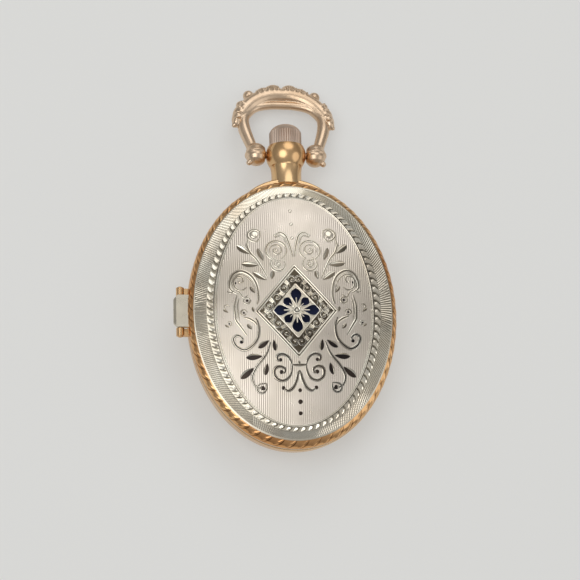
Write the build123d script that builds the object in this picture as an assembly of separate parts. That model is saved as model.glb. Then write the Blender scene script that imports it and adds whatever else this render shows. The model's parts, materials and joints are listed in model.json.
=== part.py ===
from build123d import *
import os
from math import asin, atan2, cos, degrees, hypot, pi, radians, sin, sqrt

# Oval hunter pendant watch, lying on its back. Millimetres, +Z out of the face, +Y to the bow,
# +X to 3 o'clock. The origin is the middle of the flat rest face of the back, under the hands.

# Shared fits
fit = 0.02
run = 0.03
shake = 0.05
overrun = 1.0

# Case outline and levels
case_width = 30.0
case_length = 39.6
case_wall = 0.45
back_rise = 2.3
band_height = 3.8
rim_gap = 0.15
cover_skirt = 0.3
cover_rise = 3.5
stem_z = 4.2

half_width = case_width / 2
half_length = case_length / 2
oval_ratio = case_length / case_width
band_top = back_rise + band_height
cover_edge = band_top + rim_gap
dome_base = cover_edge + cover_skirt

# Front cover
cover_setback = 0.05
cover_corner = 1.2

# Case band
band_taper = 0.45
band_belly = 0.12
band_round = 0.25
band_wall = 1.4
shoulder_rise = 0.84
shoulder_span = 6.5
shoulder_round = 0.3
tube_hole = 0.7

band_bore = half_width - band_wall
shoulder_reach = half_length + shoulder_rise

# Hinge
hinge_out = 0.95
hinge_z_drop = 0.05
hinge_barrel = 0.95
hinge_length = 4.7
hinge_flat = 0.72
hinge_chamfer = 0.35
hinge_end_cut = 0.6
hinge_gap = 0.06
lug_radius = 0.56
lug_length = 1.1
lug_web = 0.42
pin_radius = 0.25
pin_head = 0.42
pin_head_length = 0.22

hinge_x = -(half_width + hinge_out)
hinge_z = cover_edge - hinge_z_drop

# Case back
rest_inset = 7.0
rest_cut = 0.05
back_corner = 0.9
snap_wall = 0.3
snap_height = 0.7
snap_root = 0.75
thumb_notch = 1.6
thumb_depth = 0.25

rest_flat = half_width - rest_inset

# Bezel and crystal
bezel_inset = 0.7
bezel_frame = 1.3
bezel_rise = 0.65
bezel_round = 0.3
bezel_lip = 0.25
bezel_snap = 0.3
crystal_seat = 0.5
crystal_rise = 1.6
crystal_corner = 0.8
crystal_wall = 0.55

bezel_width = half_width - bezel_inset
crystal_width = bezel_width - bezel_frame
bezel_opening = crystal_width - crystal_seat

# Pendant neck and ball
neck_length = 4.95
ball_radius = 2.95
ball_flat = 1.25
neck_stand = 0.15
neck_foot = 2.4
neck_waist = 2.2
neck_collar = 2.32
neck_waist_share = 0.574
neck_collar_drop = 2.0
stem_radius = 0.45
peg_radius = 0.5
peg_depth = 0.9

neck_seat = half_length + neck_stand
ball_reach = neck_seat + neck_length
neck_collar_reach = ball_reach - neck_collar_drop
neck_waist_reach = neck_seat + neck_waist_share * (neck_collar_reach - neck_seat)

# Crown
crown_radius = 2.38
crown_length = 3.2
crown_dome = 1.1
crown_standoff = 0.1
crown_flutes = 44
crown_flute_depth = 0.09
crown_pull = 0.8
crown_boss = 0.9
crown_recess = 0.5
crown_rim = 0.45

# Bow, drawn in its own plane: across, and out from its pivot
arch_foot_across = 6.5
arch_foot_out = 5.9
arch_top_out = 11.2
arch_radius = 1.25
rim_foot_across = 5.45
rim_foot_out = 5.45
rim_top_out = 9.45
rim_radius = 0.6
lobe_across = 1.12
lobe_out = 12.1
lobe_radius = 1.05
shell_across = 2.8
shell_out = 11.35
shell_radius = 0.97
bead_across = 5.0
bead_out = 11.0
bead_radius = 0.8
small_bead_across = 6.3
small_bead_out = 9.15
small_bead_radius = 0.6
elbow_across = 6.6
elbow_out = 6.15
elbow_radius = 1.05
elbow_tip_across = 7.42
elbow_tip_out = 5.4
elbow_tip_radius = 0.34
leg_top_across = 6.45
leg_top_out = 5.95
leg_top_radius = 0.98
leg_foot_across = 4.6
leg_foot_out = 1.25
leg_foot_radius = 0.84
bud_across = 4.35
bud_radius = 1.48
bud_flange = 1.62
bud_flange_out = 0.15
bud_flange_drop = 0.3
bud_gap = 0.1
bud_tip_across = 5.5
bud_tip_drop = 1.4
bud_tip_radius = 0.42
bow_floor_gap = 0.03

# Movement: plan radius and levels, bridges towards the back
movement_radius = 9.7
plate_top = 5.65
plate_bottom = 4.65
bridge_top = 3.15
bridge_bottom = 2.4
ring_bottom = 3.3
ring_gap = 0.05
ring_stem_hole = 0.8
plate_flange = 0.28
flange_depth = 0.3

ring_half_width = band_bore - ring_gap

# Plan places of the movement's axes
barrel_x = 4.6
barrel_y = 2.2
crown_wheel_y = 4.8
third_x = -3.0
third_y = -1.85
fourth_x = -4.95
fourth_y = -4.25
escape_x = -2.6
escape_y = -5.7
pallet_x = -0.62
pallet_y = -5.6
balance_x = 2.6
balance_y = -5.4
minute_wheel_x = 0.9
minute_wheel_y = 2.25
setting_wheel_y = 4.3

# Barrel and mainspring
barrel_tooth_radius = 4.42
barrel_tooth_depth = 0.3
barrel_teeth = 60
barrel_tooth_height = 0.3
barrel_radius = 4.0
barrel_wall = 0.2
barrel_floor = 0.2
barrel_bottom = 3.45
barrel_top = 4.5
arbor_radius = 0.5
arbor_core = 1.1
arbor_pivot = 0.35
spring_strip = 0.09
spring_height = 0.55
spring_turns = 6
spring_first = 1.3
spring_pitch = 0.37

# Going train
tooth_share = 0.45
arbor_thin = 0.22
pivot_radius = 0.09
centre_radius = 3.0
centre_teeth = 64
centre_depth = 0.24
centre_bottom = 3.2
centre_thickness = 0.16
centre_pinion_radius = 0.82
centre_pinion_bottom = 3.72
centre_pinion_top = 4.32
centre_pinion_leaves = 10
third_radius = 2.6
third_teeth = 60
third_bottom = 3.9
third_pinion_radius = 0.62
third_pinion_top = 3.6
fourth_radius = 2.3
fourth_teeth = 60
fourth_bottom = 3.42
fourth_pinion_radius = 0.56
fourth_pinion_bottom = 3.75
fourth_pinion_top = 4.2
train_pinion_leaves = 8
escape_pinion_leaves = 6
train_thickness = 0.14
train_depth = 0.2
pinion_depth = 0.24
spokes = 4
spoke_width = 0.34
rim_width = 0.42
hub_radius = 0.5
escape_radius = 1.6
escape_root = 1.22
escape_teeth = 15
escape_bottom = 4.28
escape_lean = 9.0
escape_pinion_radius = 0.5
escape_pinion_bottom = 3.26
escape_pinion_top = 3.58

# Pallet fork and balance
fork_bottom = 4.28
fork_thickness = 0.13
fork_width = 0.26
fork_reach = 2.72
fork_slot = 0.2
fork_horn = 0.34
pallet_arm = 1.15
pallet_arm_angle = 62.0
pallet_hub = 0.3
balance_radius = 3.2
balance_rim = 0.4
balance_bottom = 3.45
balance_rim_height = 0.35
balance_arm_width = 0.4
balance_arm_height = 0.16
balance_screws = 12
balance_screw_radius = 0.13
balance_screw_length = 0.14
roller_radius = 0.42
roller_height = 0.2
roller_pin = 0.08
roller_pin_offset = 0.3
hairspring_inner_radius = 0.5
hairspring_pitch = 0.2
hairspring_strip = 0.05
hairspring_height = 0.14
hairspring_turns = 6
hairspring_bottom = 3.22
collet_radius = 0.42
stud_size = 0.3
regulator_ring = 0.75
regulator_reach = 2.3
regulator_angle = 120.0

# Bridges, cocks and jewels
barrel_bridge_y = 1.95
barrel_bridge_x = 1.4
barrel_bridge_low = -1.1
bridge_split = 0.2
bridge_edge = 9.5
foot_y = 6.9
foot_side_x = -5.9
foot_side_y = 3.4
stem_slot = 1.75
train_foot_x = -7.4
train_foot_low = -7.7
train_cut_x = -1.05
train_cut_y = -1.5
cock_foot_x = 6.2
cock_foot_y = -3.4
cock_width = 3.2
cock_end = 1.5
pallet_cock_width = 1.1
pallet_cock_foot_y = -8.6
pallet_cock_bottom = 3.9
pallet_cock_top = 4.2
wheel_room = 0.2
barrel_foot_x = 7.4
barrel_foot_y = 1.4
train_foot_high = 0.2
train_foot_right = -1.75
cock_foot_mid_x = 7.5
cock_foot_mid_y = -5.0
cock_foot_bottom = -6.2
plate_seat = 0.4
jewel_radius = 0.5
jewel_height = 0.3
cock_jewel_radius = 0.65

# Winding and setting work
crown_wheel_radius = 2.4
crown_wheel_teeth = 30
ratchet_radius = 2.96
ratchet_teeth = 36
winding_bottom = 2.45
winding_thickness = 0.33
winding_depth = 0.3
winding_pinion_radius = 1.36
winding_pinion_leaves = 14
winding_pinion_inner = 6.6
winding_pinion_outer = 7.75
clutch_radius = 0.95
clutch_inner = 5.15
clutch_outer = 6.5
clutch_travel = 0.3
clutch_groove = 0.3
clutch_teeth = 12
stem_inner = 3.8
stem_tip_radius = 0.25
stem_tip_length = 1.2
stem_boss_left = 0.6
stem_boss_right = 0.38
stem_boss_wall = 0.2
stem_boss_end = 4.8
stem_square = 0.62
stem_slot_groove = 8.1
stem_groove_width = 0.4
stem_groove_depth = 0.15
click_x = 7.0
click_y = 4.9
click_hub = 0.42
click_width = 0.34
click_spring_strip = 0.12
click_spring_reach = 2.3
click_room_radius = 0.85
click_aim = -62.0
lever_bottom = 5.2
lever_height = 0.3
lever_x = -1.9
lever_y = 8.3
lever_pin = 0.12
lever_width = 0.7
yoke_x = 2.3
yoke_y = 7.3
yoke_width = 0.55

# Motion work and hands
motion_floor = 4.95
cannon_radius = 0.42
cannon_bore = 0.24
cannon_tooth_radius = 0.78
cannon_leaves = 10
cannon_top = 6.74
cannon_bottom = 5.0
minute_wheel_radius = 1.72
minute_wheel_teeth = 30
minute_wheel_bottom = 5.0
minute_wheel_thickness = 0.16
minute_pinion_radius = 0.55
minute_pinion_leaves = 8
hour_wheel_radius = 1.95
hour_wheel_teeth = 32
hour_wheel_bottom = 5.24
hour_wheel_thickness = 0.2
hour_pipe = 0.66
hour_pipe_top = 6.36
motion_depth = 0.2
setting_wheel_radius = 0.6
setting_wheel_teeth = 12
centre_post_top = 6.6
hour_hand_length = 6.2
hour_hand_bottom = 6.2
hand_thickness = 0.12
hour_hand_width = 1.1
minute_hand_width = 0.9
hand_neck = 0.22
hand_tip = 0.12
hand_tail = 1.6
hand_boss = 1.0
minute_hand_length = 9.2
minute_hand_bottom = 6.54
minute_boss = 0.75
hand_widest_share = 0.34
hour_hand_angle = 60.0
minute_hand_angle = -60.0

# Dial and its fixings
dial_bottom = 5.7
dial_thickness = 0.3
dial_gap = 0.4
dial_hole = 0.85
dial_foot = 0.35
dial_foot_out = 8.7
dial_foot_angle = 52.0
dial_foot_length = 0.75
dial_screw_head = 0.3

dial_half_width = band_bore - dial_gap

# Screws and clamps
screw_shank = 0.28
screw_head = 0.52
screw_head_height = 0.28
screw_slot = 0.14
screw_slot_depth = 0.12
screw_bite = 0.55
bridge_screw_radius = 8.8
bridge_screw_angles = (66.0, 114.0, 146.0, -3.3, 190.0, 246.7, -32.5)
winding_screw_head = 0.95
clamp_angles = (-12.0, 170.0)
clamp_out = 9.35
clamp_inner = 8.45
clamp_outer = 10.5
clamp_width = 1.3
clamp_height = 0.25


def oval(face):
    return scale(revolve(face, Axis.Z), by=(1, oval_ratio, 1))


def rod(radius, low, high, x=0.0, y=0.0):
    return Pos(x, y, (low + high) / 2) * Cylinder(radius, high - low)


def tube(radius, bore, low, high, x=0.0, y=0.0):
    return rod(radius, low, high, x, y) - rod(bore, low - overrun, high + overrun, x, y)


def slab(x_low, x_high, y_low, y_high, low, high):
    size = (x_high - x_low, y_high - y_low, high - low)
    return Pos((x_low + x_high) / 2, (y_low + y_high) / 2, (low + high) / 2) * Box(*size)


def oval_disc(half, low, high):
    return scale(rod(half, low, high), by=(1, oval_ratio, 1))


# A point at an angle round a centre
def polar(radius, angle, x=0.0, y=0.0):
    return (x + radius * cos(radians(angle)), y + radius * sin(radians(angle)))


# Section of a dome from its middle to its rim: a flat, a large arc and a corner arc
def dome_lines(half, rise, corner, flat, base, side):
    reach = half - corner - flat
    big = (reach**2 + rise**2 - corner**2) / (2 * (rise - corner))
    lean = atan2(big - rise, reach)
    crest = (pi / 2 + lean) / 2

    def at(x, height):
        return (x, 0, base + side * height)

    start = at(flat, rise)
    middle = at(flat + big * cos(crest), rise - big + big * sin(crest))
    join = at(flat + big * cos(lean), rise - big + big * sin(lean))
    shoulder = at(half - corner + corner * cos(lean / 2), corner * sin(lean / 2))
    rim = at(half, 0)
    lines = [ThreePointArc(start, middle, join), ThreePointArc(join, shoulder, rim)]
    if flat > 0:
        lines.insert(0, Line(at(0, rise), start))
    return lines


# A domed shell with an even wall and a straight skirt below its rim
def dome_shell(half, rise, corner, flat, wall, base, side, skirt=0.0):
    outer = dome_lines(half, rise, corner, flat, base, side)
    inner = dome_lines(half - wall, rise - wall, corner - wall, flat, base, side)
    edge = base - side * skirt
    ends = [Line((0, 0, base + side * rise), (0, 0, base + side * (rise - wall)))]
    if skirt > 0:
        ends.append(Line((half, 0, base), (half, 0, edge)))
        ends.append(Line((half, 0, edge), (half - wall, 0, edge)))
        ends.append(Line((half - wall, 0, edge), (half - wall, 0, base)))
    else:
        ends.append(Line((half, 0, base), (half - wall, 0, base)))
    return oval(make_face(Curve() + (outer + inner + ends)))


# A toothed disc with pointed or flat-topped teeth, one of them at the angle phase
def toothed(count, tip, depth, low, high, phase=0.0, x=0.0, y=0.0, flat_share=0.0):
    points = []
    step = 360 / count
    for tooth in range(count):
        angle = phase + tooth * step
        if flat_share > 0:
            points.append(polar(tip, angle - flat_share * step / 2, x, y))
            points.append(polar(tip, angle + flat_share * step / 2, x, y))
        else:
            points.append(polar(tip, angle, x, y))
        points.append(polar(tip - depth, angle + step / 2, x, y))
    face = make_face(Polyline(*points, close=True))
    return Pos(0, 0, low) * extrude(face, high - low)


# The gaps between the spokes of a wheel
def spoke_gaps(tip, depth, low, high, x, y):
    ring = tube(tip - depth - rim_width, hub_radius, low - overrun, high + overrun, x, y)
    for spoke in range(spokes // 2):
        turn = Pos(x, y, (low + high) / 2) * Rot(0, 0, spoke * 360 / spokes)
        ring -= turn * Box(2 * tip, spoke_width, high - low + 4 * overrun)
    return ring


# A spoked wheel with its pinion and arbor
def wheel(count, tip, low, leaves, pinion, pinion_low, pinion_high, x, y, phase, pinion_phase):
    high = low + train_thickness
    disc = toothed(count, tip, train_depth, low, high, phase, x, y)
    disc -= spoke_gaps(tip, train_depth, low, high, x, y)
    leaf = toothed(leaves, pinion, pinion_depth, pinion_low, pinion_high, pinion_phase, x, y, tooth_share)
    return disc + leaf + arbor_and_pivots(x, y)


def arbor_and_pivots(x, y):
    arbor = rod(arbor_thin, bridge_top + shake, plate_bottom - shake, x, y)
    return arbor + rod(pivot_radius, bridge_top - jewel_height, plate_bottom + jewel_height, x, y)


# A spiral strip of half turns, its inner end at the angle phase
def spiral(first, pitch, strip, turns, low, high, x, y):
    inner = []
    outer = []
    radius = first
    centre = 0.0
    side = 1
    for half in range(2 * turns):
        for lines, extra in ((inner, 0.0), (outer, strip)):
            r = radius + extra
            start = (centre + side * r, 0)
            top = (centre, side * r)
            end = (centre - side * r, 0)
            lines.append(ThreePointArc(start, top, end))
        radius += pitch / 2
        centre += side * pitch / 2
        side = -side
    caps = [Line(inner[0] @ 0, outer[0] @ 0), Line(inner[-1] @ 1, outer[-1] @ 1)]
    face = make_face(Curve() + (inner + outer + caps))
    return Pos(x, y, low) * extrude(face, high - low)


# A screw standing head down, its head's underside at level seat
def screw(x, y, seat, top, head=screw_head):
    body = rod(head, seat - screw_head_height, seat, x, y)
    body += rod(screw_shank, seat, top, x, y)
    slot = Box(2 * head + overrun, screw_slot, 2 * screw_slot_depth)
    return body - Pos(x, y, seat - screw_head_height) * Rot(0, 0, 30) * slot


def front_cover():
    half = half_width - cover_setback
    shell = dome_shell(half, cover_rise, cover_corner, 0, case_wall, dome_base, 1, cover_skirt)
    top = hinge_z + hinge_flat
    left = hinge_x - hinge_barrel
    inner = -(half - case_wall / 2)
    barrel = Curve() + [
        Line((left, 0, hinge_z), (left, 0, top - hinge_chamfer)),
        Line((left, 0, top - hinge_chamfer), (left + hinge_chamfer, 0, top)),
        Line((left + hinge_chamfer, 0, top), (inner, 0, top)),
        Line((inner, 0, top), (inner, 0, cover_edge)),
        Line((inner, 0, cover_edge), (hinge_x + hinge_barrel, 0, cover_edge)),
        Line((hinge_x + hinge_barrel, 0, cover_edge), (hinge_x + hinge_barrel, 0, hinge_z)),
        ThreePointArc((hinge_x + hinge_barrel, 0, hinge_z), (hinge_x, 0, hinge_z - hinge_barrel),
                      (left, 0, hinge_z)),
    ]
    knuckle = extrude(make_face(barrel), hinge_length / 2, both=True)
    ends = knuckle.edges().filter_by(Axis.Z).sort_by(Axis.X)[:2]
    knuckle = chamfer(ends, hinge_end_cut)
    pin = Pos(hinge_x, 0, hinge_z) * Rot(90, 0, 0) * Cylinder(pin_radius + run, hinge_length + overrun)
    inside = dome_shell(half - case_wall, cover_rise - case_wall, cover_corner - case_wall, 0,
                        cover_corner - case_wall - fit, dome_base, 1, cover_skirt)
    return shell + (knuckle - pin - inside)


def hinge_span():
    return hinge_length / 2 + hinge_gap, hinge_length / 2 + hinge_gap + lug_length


def hinge_pin():
    _, reach = hinge_span()
    pin = Cylinder(pin_radius, 2 * reach)
    for side in (1, -1):
        dome = Pos(0, 0, side * reach) * scale(Sphere(pin_head), by=(1, 1, pin_head_length / pin_head))
        pin += dome & Pos(0, 0, side * (reach + overrun)) * Box(overrun * 2, overrun * 2, overrun * 2)
    return Pos(hinge_x, 0, hinge_z) * Rot(90, 0, 0) * pin


# The crescent that the band raises under the pendant
def band_shoulder():
    at_span = half_width * oval_ratio * sqrt(1 - (shoulder_span / half_width) ** 2)
    sagitta = shoulder_reach - at_span
    radius = (shoulder_span**2 + sagitta**2) / (2 * sagitta)
    crescent = rod(radius, back_rise, band_top, 0, shoulder_reach - radius)
    rim = crescent.edges().filter_by(GeomType.CIRCLE)
    crescent = fillet(rim, shoulder_round)
    front = slab(-half_width, half_width, 0, shoulder_reach + overrun, back_rise, band_top)
    return crescent & front


def case_band():
    foot = half_width - band_taper
    middle = (foot + half_width) / 2 + band_belly
    top = band_top
    outer = [
        ThreePointArc((foot, 0, back_rise), (middle, 0, (back_rise + top - band_round) / 2),
                      (half_width, 0, top - band_round)),
        ThreePointArc((half_width, 0, top - band_round),
                      (half_width - band_round * (1 - cos(pi / 4)), 0, top - band_round * (1 - sin(pi / 4))),
                      (half_width - band_round, 0, top)),
        Line((half_width - band_round, 0, top), (0, 0, top)),
        Line((0, 0, top), (0, 0, back_rise)),
        Line((0, 0, back_rise), (foot, 0, back_rise)),
    ]
    band = oval(make_face(Curve() + outer)) + band_shoulder()
    near, far = hinge_span()
    swing = hypot(hinge_barrel, hinge_flat - hinge_chamfer)
    for side in (1, -1):
        y_low = min(side * near, side * far)
        centre_y = y_low + lug_length / 2
        lug = Pos(hinge_x, centre_y, hinge_z) * Rot(90, 0, 0) * Cylinder(lug_radius, lug_length)
        arm = slab(hinge_x, -band_bore, y_low, y_low + lug_length, hinge_z - lug_radius,
                   hinge_z - lug_radius + lug_web)
        band += lug + arm
    bore = Pos(hinge_x, 0, hinge_z) * Rot(90, 0, 0)
    band -= bore * Cylinder(swing + hinge_gap, 2 * near)
    band -= bore * Cylinder(pin_radius + fit, 2 * far + overrun)
    band -= oval_disc(band_bore, back_rise - overrun, top + overrun)
    along = Pos(0, 0, stem_z) * Rot(-90, 0, 0)
    band -= along * rod(neck_foot + fit, neck_seat, shoulder_reach + overrun)
    return band - along * rod(tube_hole, 0, shoulder_reach + overrun)


def case_back():
    half = half_width - band_taper - fit
    deep = back_rise + rest_cut
    shell = dome_shell(half, deep, back_corner, rest_flat, case_wall, back_rise, -1)
    shell &= slab(-case_width, case_width, -case_length, case_length, 0, case_width)
    wall_out = band_bore - fit
    wall = oval_disc(wall_out, back_rise - snap_root, back_rise + snap_height)
    wall -= oval_disc(wall_out - snap_wall, back_rise - overrun, back_rise + snap_height + overrun)
    notch_y = -(half * oval_ratio - thumb_depth)
    notch = slab(-thumb_notch, thumb_notch, notch_y - overrun, notch_y, back_rise - thumb_depth,
                 back_rise + overrun)
    return shell + wall - notch


def bezel():
    top = band_top + bezel_rise
    outer = bezel_width
    seat = band_top + bezel_lip
    snap_out = band_bore - fit
    bore = crystal_width + fit
    lines = [
        Line((bezel_opening, 0, band_top), (bezel_opening, 0, seat)),
        Line((bezel_opening, 0, seat), (bore, 0, seat)),
        Line((bore, 0, seat), (bore, 0, top)),
        Line((bore, 0, top), (outer - bezel_round, 0, top)),
        ThreePointArc((outer - bezel_round, 0, top),
                      (outer - bezel_round * (1 - cos(pi / 4)), 0, top - bezel_round * (1 - sin(pi / 4))),
                      (outer, 0, top - bezel_round)),
        Line((outer, 0, top - bezel_round), (outer, 0, band_top)),
        Line((outer, 0, band_top), (snap_out, 0, band_top)),
        Line((snap_out, 0, band_top), (snap_out, 0, band_top - bezel_snap)),
        Line((snap_out, 0, band_top - bezel_snap), (snap_out - snap_wall, 0, band_top - bezel_snap)),
        Line((snap_out - snap_wall, 0, band_top - bezel_snap), (snap_out - snap_wall, 0, band_top)),
        Line((snap_out - snap_wall, 0, band_top), (bezel_opening, 0, band_top)),
    ]
    return oval(make_face(Curve() + lines))


def crystal():
    base = band_top + bezel_lip
    return dome_shell(crystal_width, crystal_rise, crystal_corner, 0, crystal_wall, base, 1)


def pendant():
    flat_at = ball_reach + ball_flat
    ring = sqrt(ball_radius**2 - ball_flat**2)
    low = ball_reach - sqrt(ball_radius**2 - neck_collar**2)
    bore = stem_radius + run
    lines = [
        Line((bore, 0, neck_seat), (neck_foot, 0, neck_seat)),
        Spline((neck_foot, 0, neck_seat), (neck_waist, 0, neck_waist_reach),
               (neck_collar, 0, neck_collar_reach)),
        Line((neck_collar, 0, neck_collar_reach), (neck_collar, 0, low)),
        ThreePointArc((neck_collar, 0, low), (ball_radius, 0, ball_reach), (ring, 0, flat_at)),
        Line((ring, 0, flat_at), (bore, 0, flat_at)),
        Line((bore, 0, flat_at), (bore, 0, neck_seat)),
    ]
    body = revolve(make_face(Curve() + lines), Axis.Z)
    for side in (1, -1):
        depth = peg_depth + run
        hole = Pos(side * (ball_radius - depth / 2 + overrun / 2), 0, ball_reach) * Rot(0, 90, 0)
        body -= hole * Cylinder(peg_radius + run, depth + overrun)
    return Pos(0, 0, stem_z) * Rot(-90, 0, 0) * body


def crown():
    low = ball_reach + ball_flat + crown_standoff
    high = low + crown_length
    side = high - crown_dome
    fluted = toothed(crown_flutes, crown_radius, crown_flute_depth, low, high, 0, 0, 0, tooth_share)
    lines = [
        Line((0, 0, low), (crown_radius, 0, low)),
        Line((crown_radius, 0, low), (crown_radius, 0, side)),
        ThreePointArc((crown_radius, 0, side),
                      (crown_radius * sin(pi / 3), 0, side + crown_dome * cos(pi / 3)), (0, 0, high)),
        Line((0, 0, high), (0, 0, low)),
    ]
    envelope = revolve(make_face(Curve() + lines), Axis.Z)
    body = fluted & envelope
    body -= tube(crown_radius - crown_rim, crown_boss, low - overrun, low + crown_recess)
    body -= rod(stem_radius + fit, low - overrun, low + crown_length / 2)
    return Pos(0, 0, stem_z) * Rot(-90, 0, 0) * body


def stem():
    low = stem_inner
    high = ball_reach + ball_flat + crown_standoff + crown_length / 2 - fit
    body = rod(stem_radius, winding_pinion_inner, high)
    corner = stem_square / sqrt(2)
    body += slab(-corner, corner, -corner, corner, low + stem_tip_length, winding_pinion_inner) & rod(
        stem_radius, low, high)
    body += rod(stem_tip_radius, low, low + stem_tip_length)
    body -= tube(stem_radius + overrun, stem_radius - stem_groove_depth, stem_slot_groove,
                 stem_slot_groove + stem_groove_width)
    return Pos(0, 0, stem_z) * Rot(-90, 0, 0) * body


# One rounded mass of the bow's casting
def mass(x, out, radius):
    return Pos(x, out, 0) * Rot(90, 0, 0) * Sphere(radius)


# A round bar bent to an arc over the crown
def bow_bar(across, out, top, radius):
    path = ThreePointArc((-across, out), (0, top), (across, out))
    section = Plane(origin=path @ 0, z_dir=path % 0) * Circle(radius)
    return sweep(section, path=path)


# A straight round bar between two places, tapered
def bow_leg(from_across, from_out, from_radius, to_across, to_out, to_radius):
    run_x = to_across - from_across
    run_y = to_out - from_out
    lean = degrees(atan2(run_x, run_y))
    leg = Rot(0, 0, -lean) * Rot(-90, 0, 0) * Cone(from_radius, to_radius, hypot(run_x, run_y))
    return Pos((from_across + to_across) / 2, (from_out + to_out) / 2, 0) * leg


# The masses, leg and bud of the bow's right side; half a turn gives the left
def bow_side():
    body = mass(lobe_across, lobe_out, lobe_radius)
    body += mass(shell_across, shell_out, shell_radius)
    body += mass(bead_across, bead_out, bead_radius)
    body += mass(small_bead_across, small_bead_out, small_bead_radius)
    body += mass(elbow_across, elbow_out, elbow_radius)
    body += mass(elbow_tip_across, elbow_tip_out, elbow_tip_radius)
    body += bow_leg(leg_top_across, leg_top_out, leg_top_radius, leg_foot_across, leg_foot_out,
                    leg_foot_radius)
    return body + bow_bud()


# The bud at the end of a leg: a cap on a flange, flat where it faces the ball, with its peg
def bow_bud():
    low = bud_flange_out - bud_flange_drop
    lean = bud_radius * sin(pi / 4)
    lines = [
        ThreePointArc((0, bud_flange_out + bud_radius), (lean, bud_flange_out + lean),
                      (bud_radius, bud_flange_out)),
        Line((bud_radius, bud_flange_out), (bud_flange, bud_flange_out)),
        Line((bud_flange, bud_flange_out), (bud_flange, low)),
        Line((bud_flange, low), (bud_radius, low)),
        ThreePointArc((bud_radius, low), (lean, low - lean), (0, low - bud_radius)),
        Line((0, low - bud_radius), (0, bud_flange_out + bud_radius)),
    ]
    bud = Pos(bud_across, 0, 0) * revolve(make_face(Curve() + lines), Axis.Y)
    bud += mass(bud_tip_across, -bud_tip_drop, bud_tip_radius)
    far = bud_across + bud_flange + overrun
    bud &= slab(ball_radius + bud_gap, far, -far, far, -far, far)
    peg_from = ball_radius - peg_depth
    peg = Pos((peg_from + bud_across) / 2, 0, 0) * Rot(0, 90, 0) * Cylinder(peg_radius, bud_across - peg_from)
    return bud + peg


def bow():
    right = bow_side()
    body = bow_bar(arch_foot_across, arch_foot_out, arch_top_out, arch_radius)
    body += bow_bar(rim_foot_across, rim_foot_out, rim_top_out, rim_radius)
    body += right + Rot(0, 180, 0) * right
    drop = degrees(asin((stem_z - lobe_radius - bow_floor_gap) / lobe_out))
    return Pos(0, ball_reach, stem_z) * Rot(-drop, 0, 0) * body


def dial():
    plate = oval_disc(dial_half_width, dial_bottom, dial_bottom + dial_thickness)
    plate -= rod(dial_hole, dial_bottom - overrun, dial_bottom + dial_thickness + overrun)
    for angle in (dial_foot_angle, dial_foot_angle + 180):
        x, y = polar(dial_foot_out, angle)
        plate += rod(dial_foot, dial_bottom - dial_foot_length, dial_bottom, x, y)
    return plate


# A flat hand: a leaf blade from a round boss, with a short counterpoise
def hand(length, low, boss, bore, width):
    tip = length
    widest = length * hand_widest_share
    points = [
        (-hand_neck, 0), (-hand_neck, boss), (-width / 2, widest), (-hand_tip / 2, tip),
        (hand_tip / 2, tip), (width / 2, widest), (hand_neck, boss), (hand_neck, 0),
        (hand_neck, -hand_tail), (-hand_neck, -hand_tail),
    ]
    blade = extrude(make_face(Polyline(*points, close=True)), hand_thickness)
    high = low + hand_thickness
    body = Pos(0, 0, low) * blade + rod(boss, low, high)
    return body - rod(bore, low - overrun, high + overrun)


def hour_hand():
    return Rot(0, 0, hour_hand_angle) * hand(
        hour_hand_length, hour_hand_bottom, hand_boss, hour_pipe + fit, hour_hand_width)


def minute_hand():
    return Rot(0, 0, minute_hand_angle) * hand(
        minute_hand_length, minute_hand_bottom, minute_boss, cannon_radius + fit, minute_hand_width)


def clamp_places():
    return [polar(clamp_out, angle) for angle in clamp_angles]


def movement_ring():
    ring = oval_disc(ring_half_width, ring_bottom, plate_top)
    ring -= rod(movement_radius + fit, ring_bottom - overrun, plate_top + overrun)
    ring -= rod(movement_radius + plate_flange + fit, plate_top - flange_depth - fit, plate_top + overrun)
    ring -= Pos(0, half_width, stem_z) * Rot(90, 0, 0) * Cylinder(ring_stem_hole, case_length / 2)
    for angle in clamp_angles:
        turn = Rot(0, 0, angle)
        half = clamp_width / 2 + fit
        ring -= turn * slab(clamp_inner - fit, clamp_outer + fit, -half, half, ring_bottom - overrun,
                            plate_bottom + fit)
    return ring


def bridge_screw_places():
    ring = [polar(bridge_screw_radius, angle) for angle in bridge_screw_angles]
    return ring + [(pallet_x, pallet_cock_foot_y)]


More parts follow.
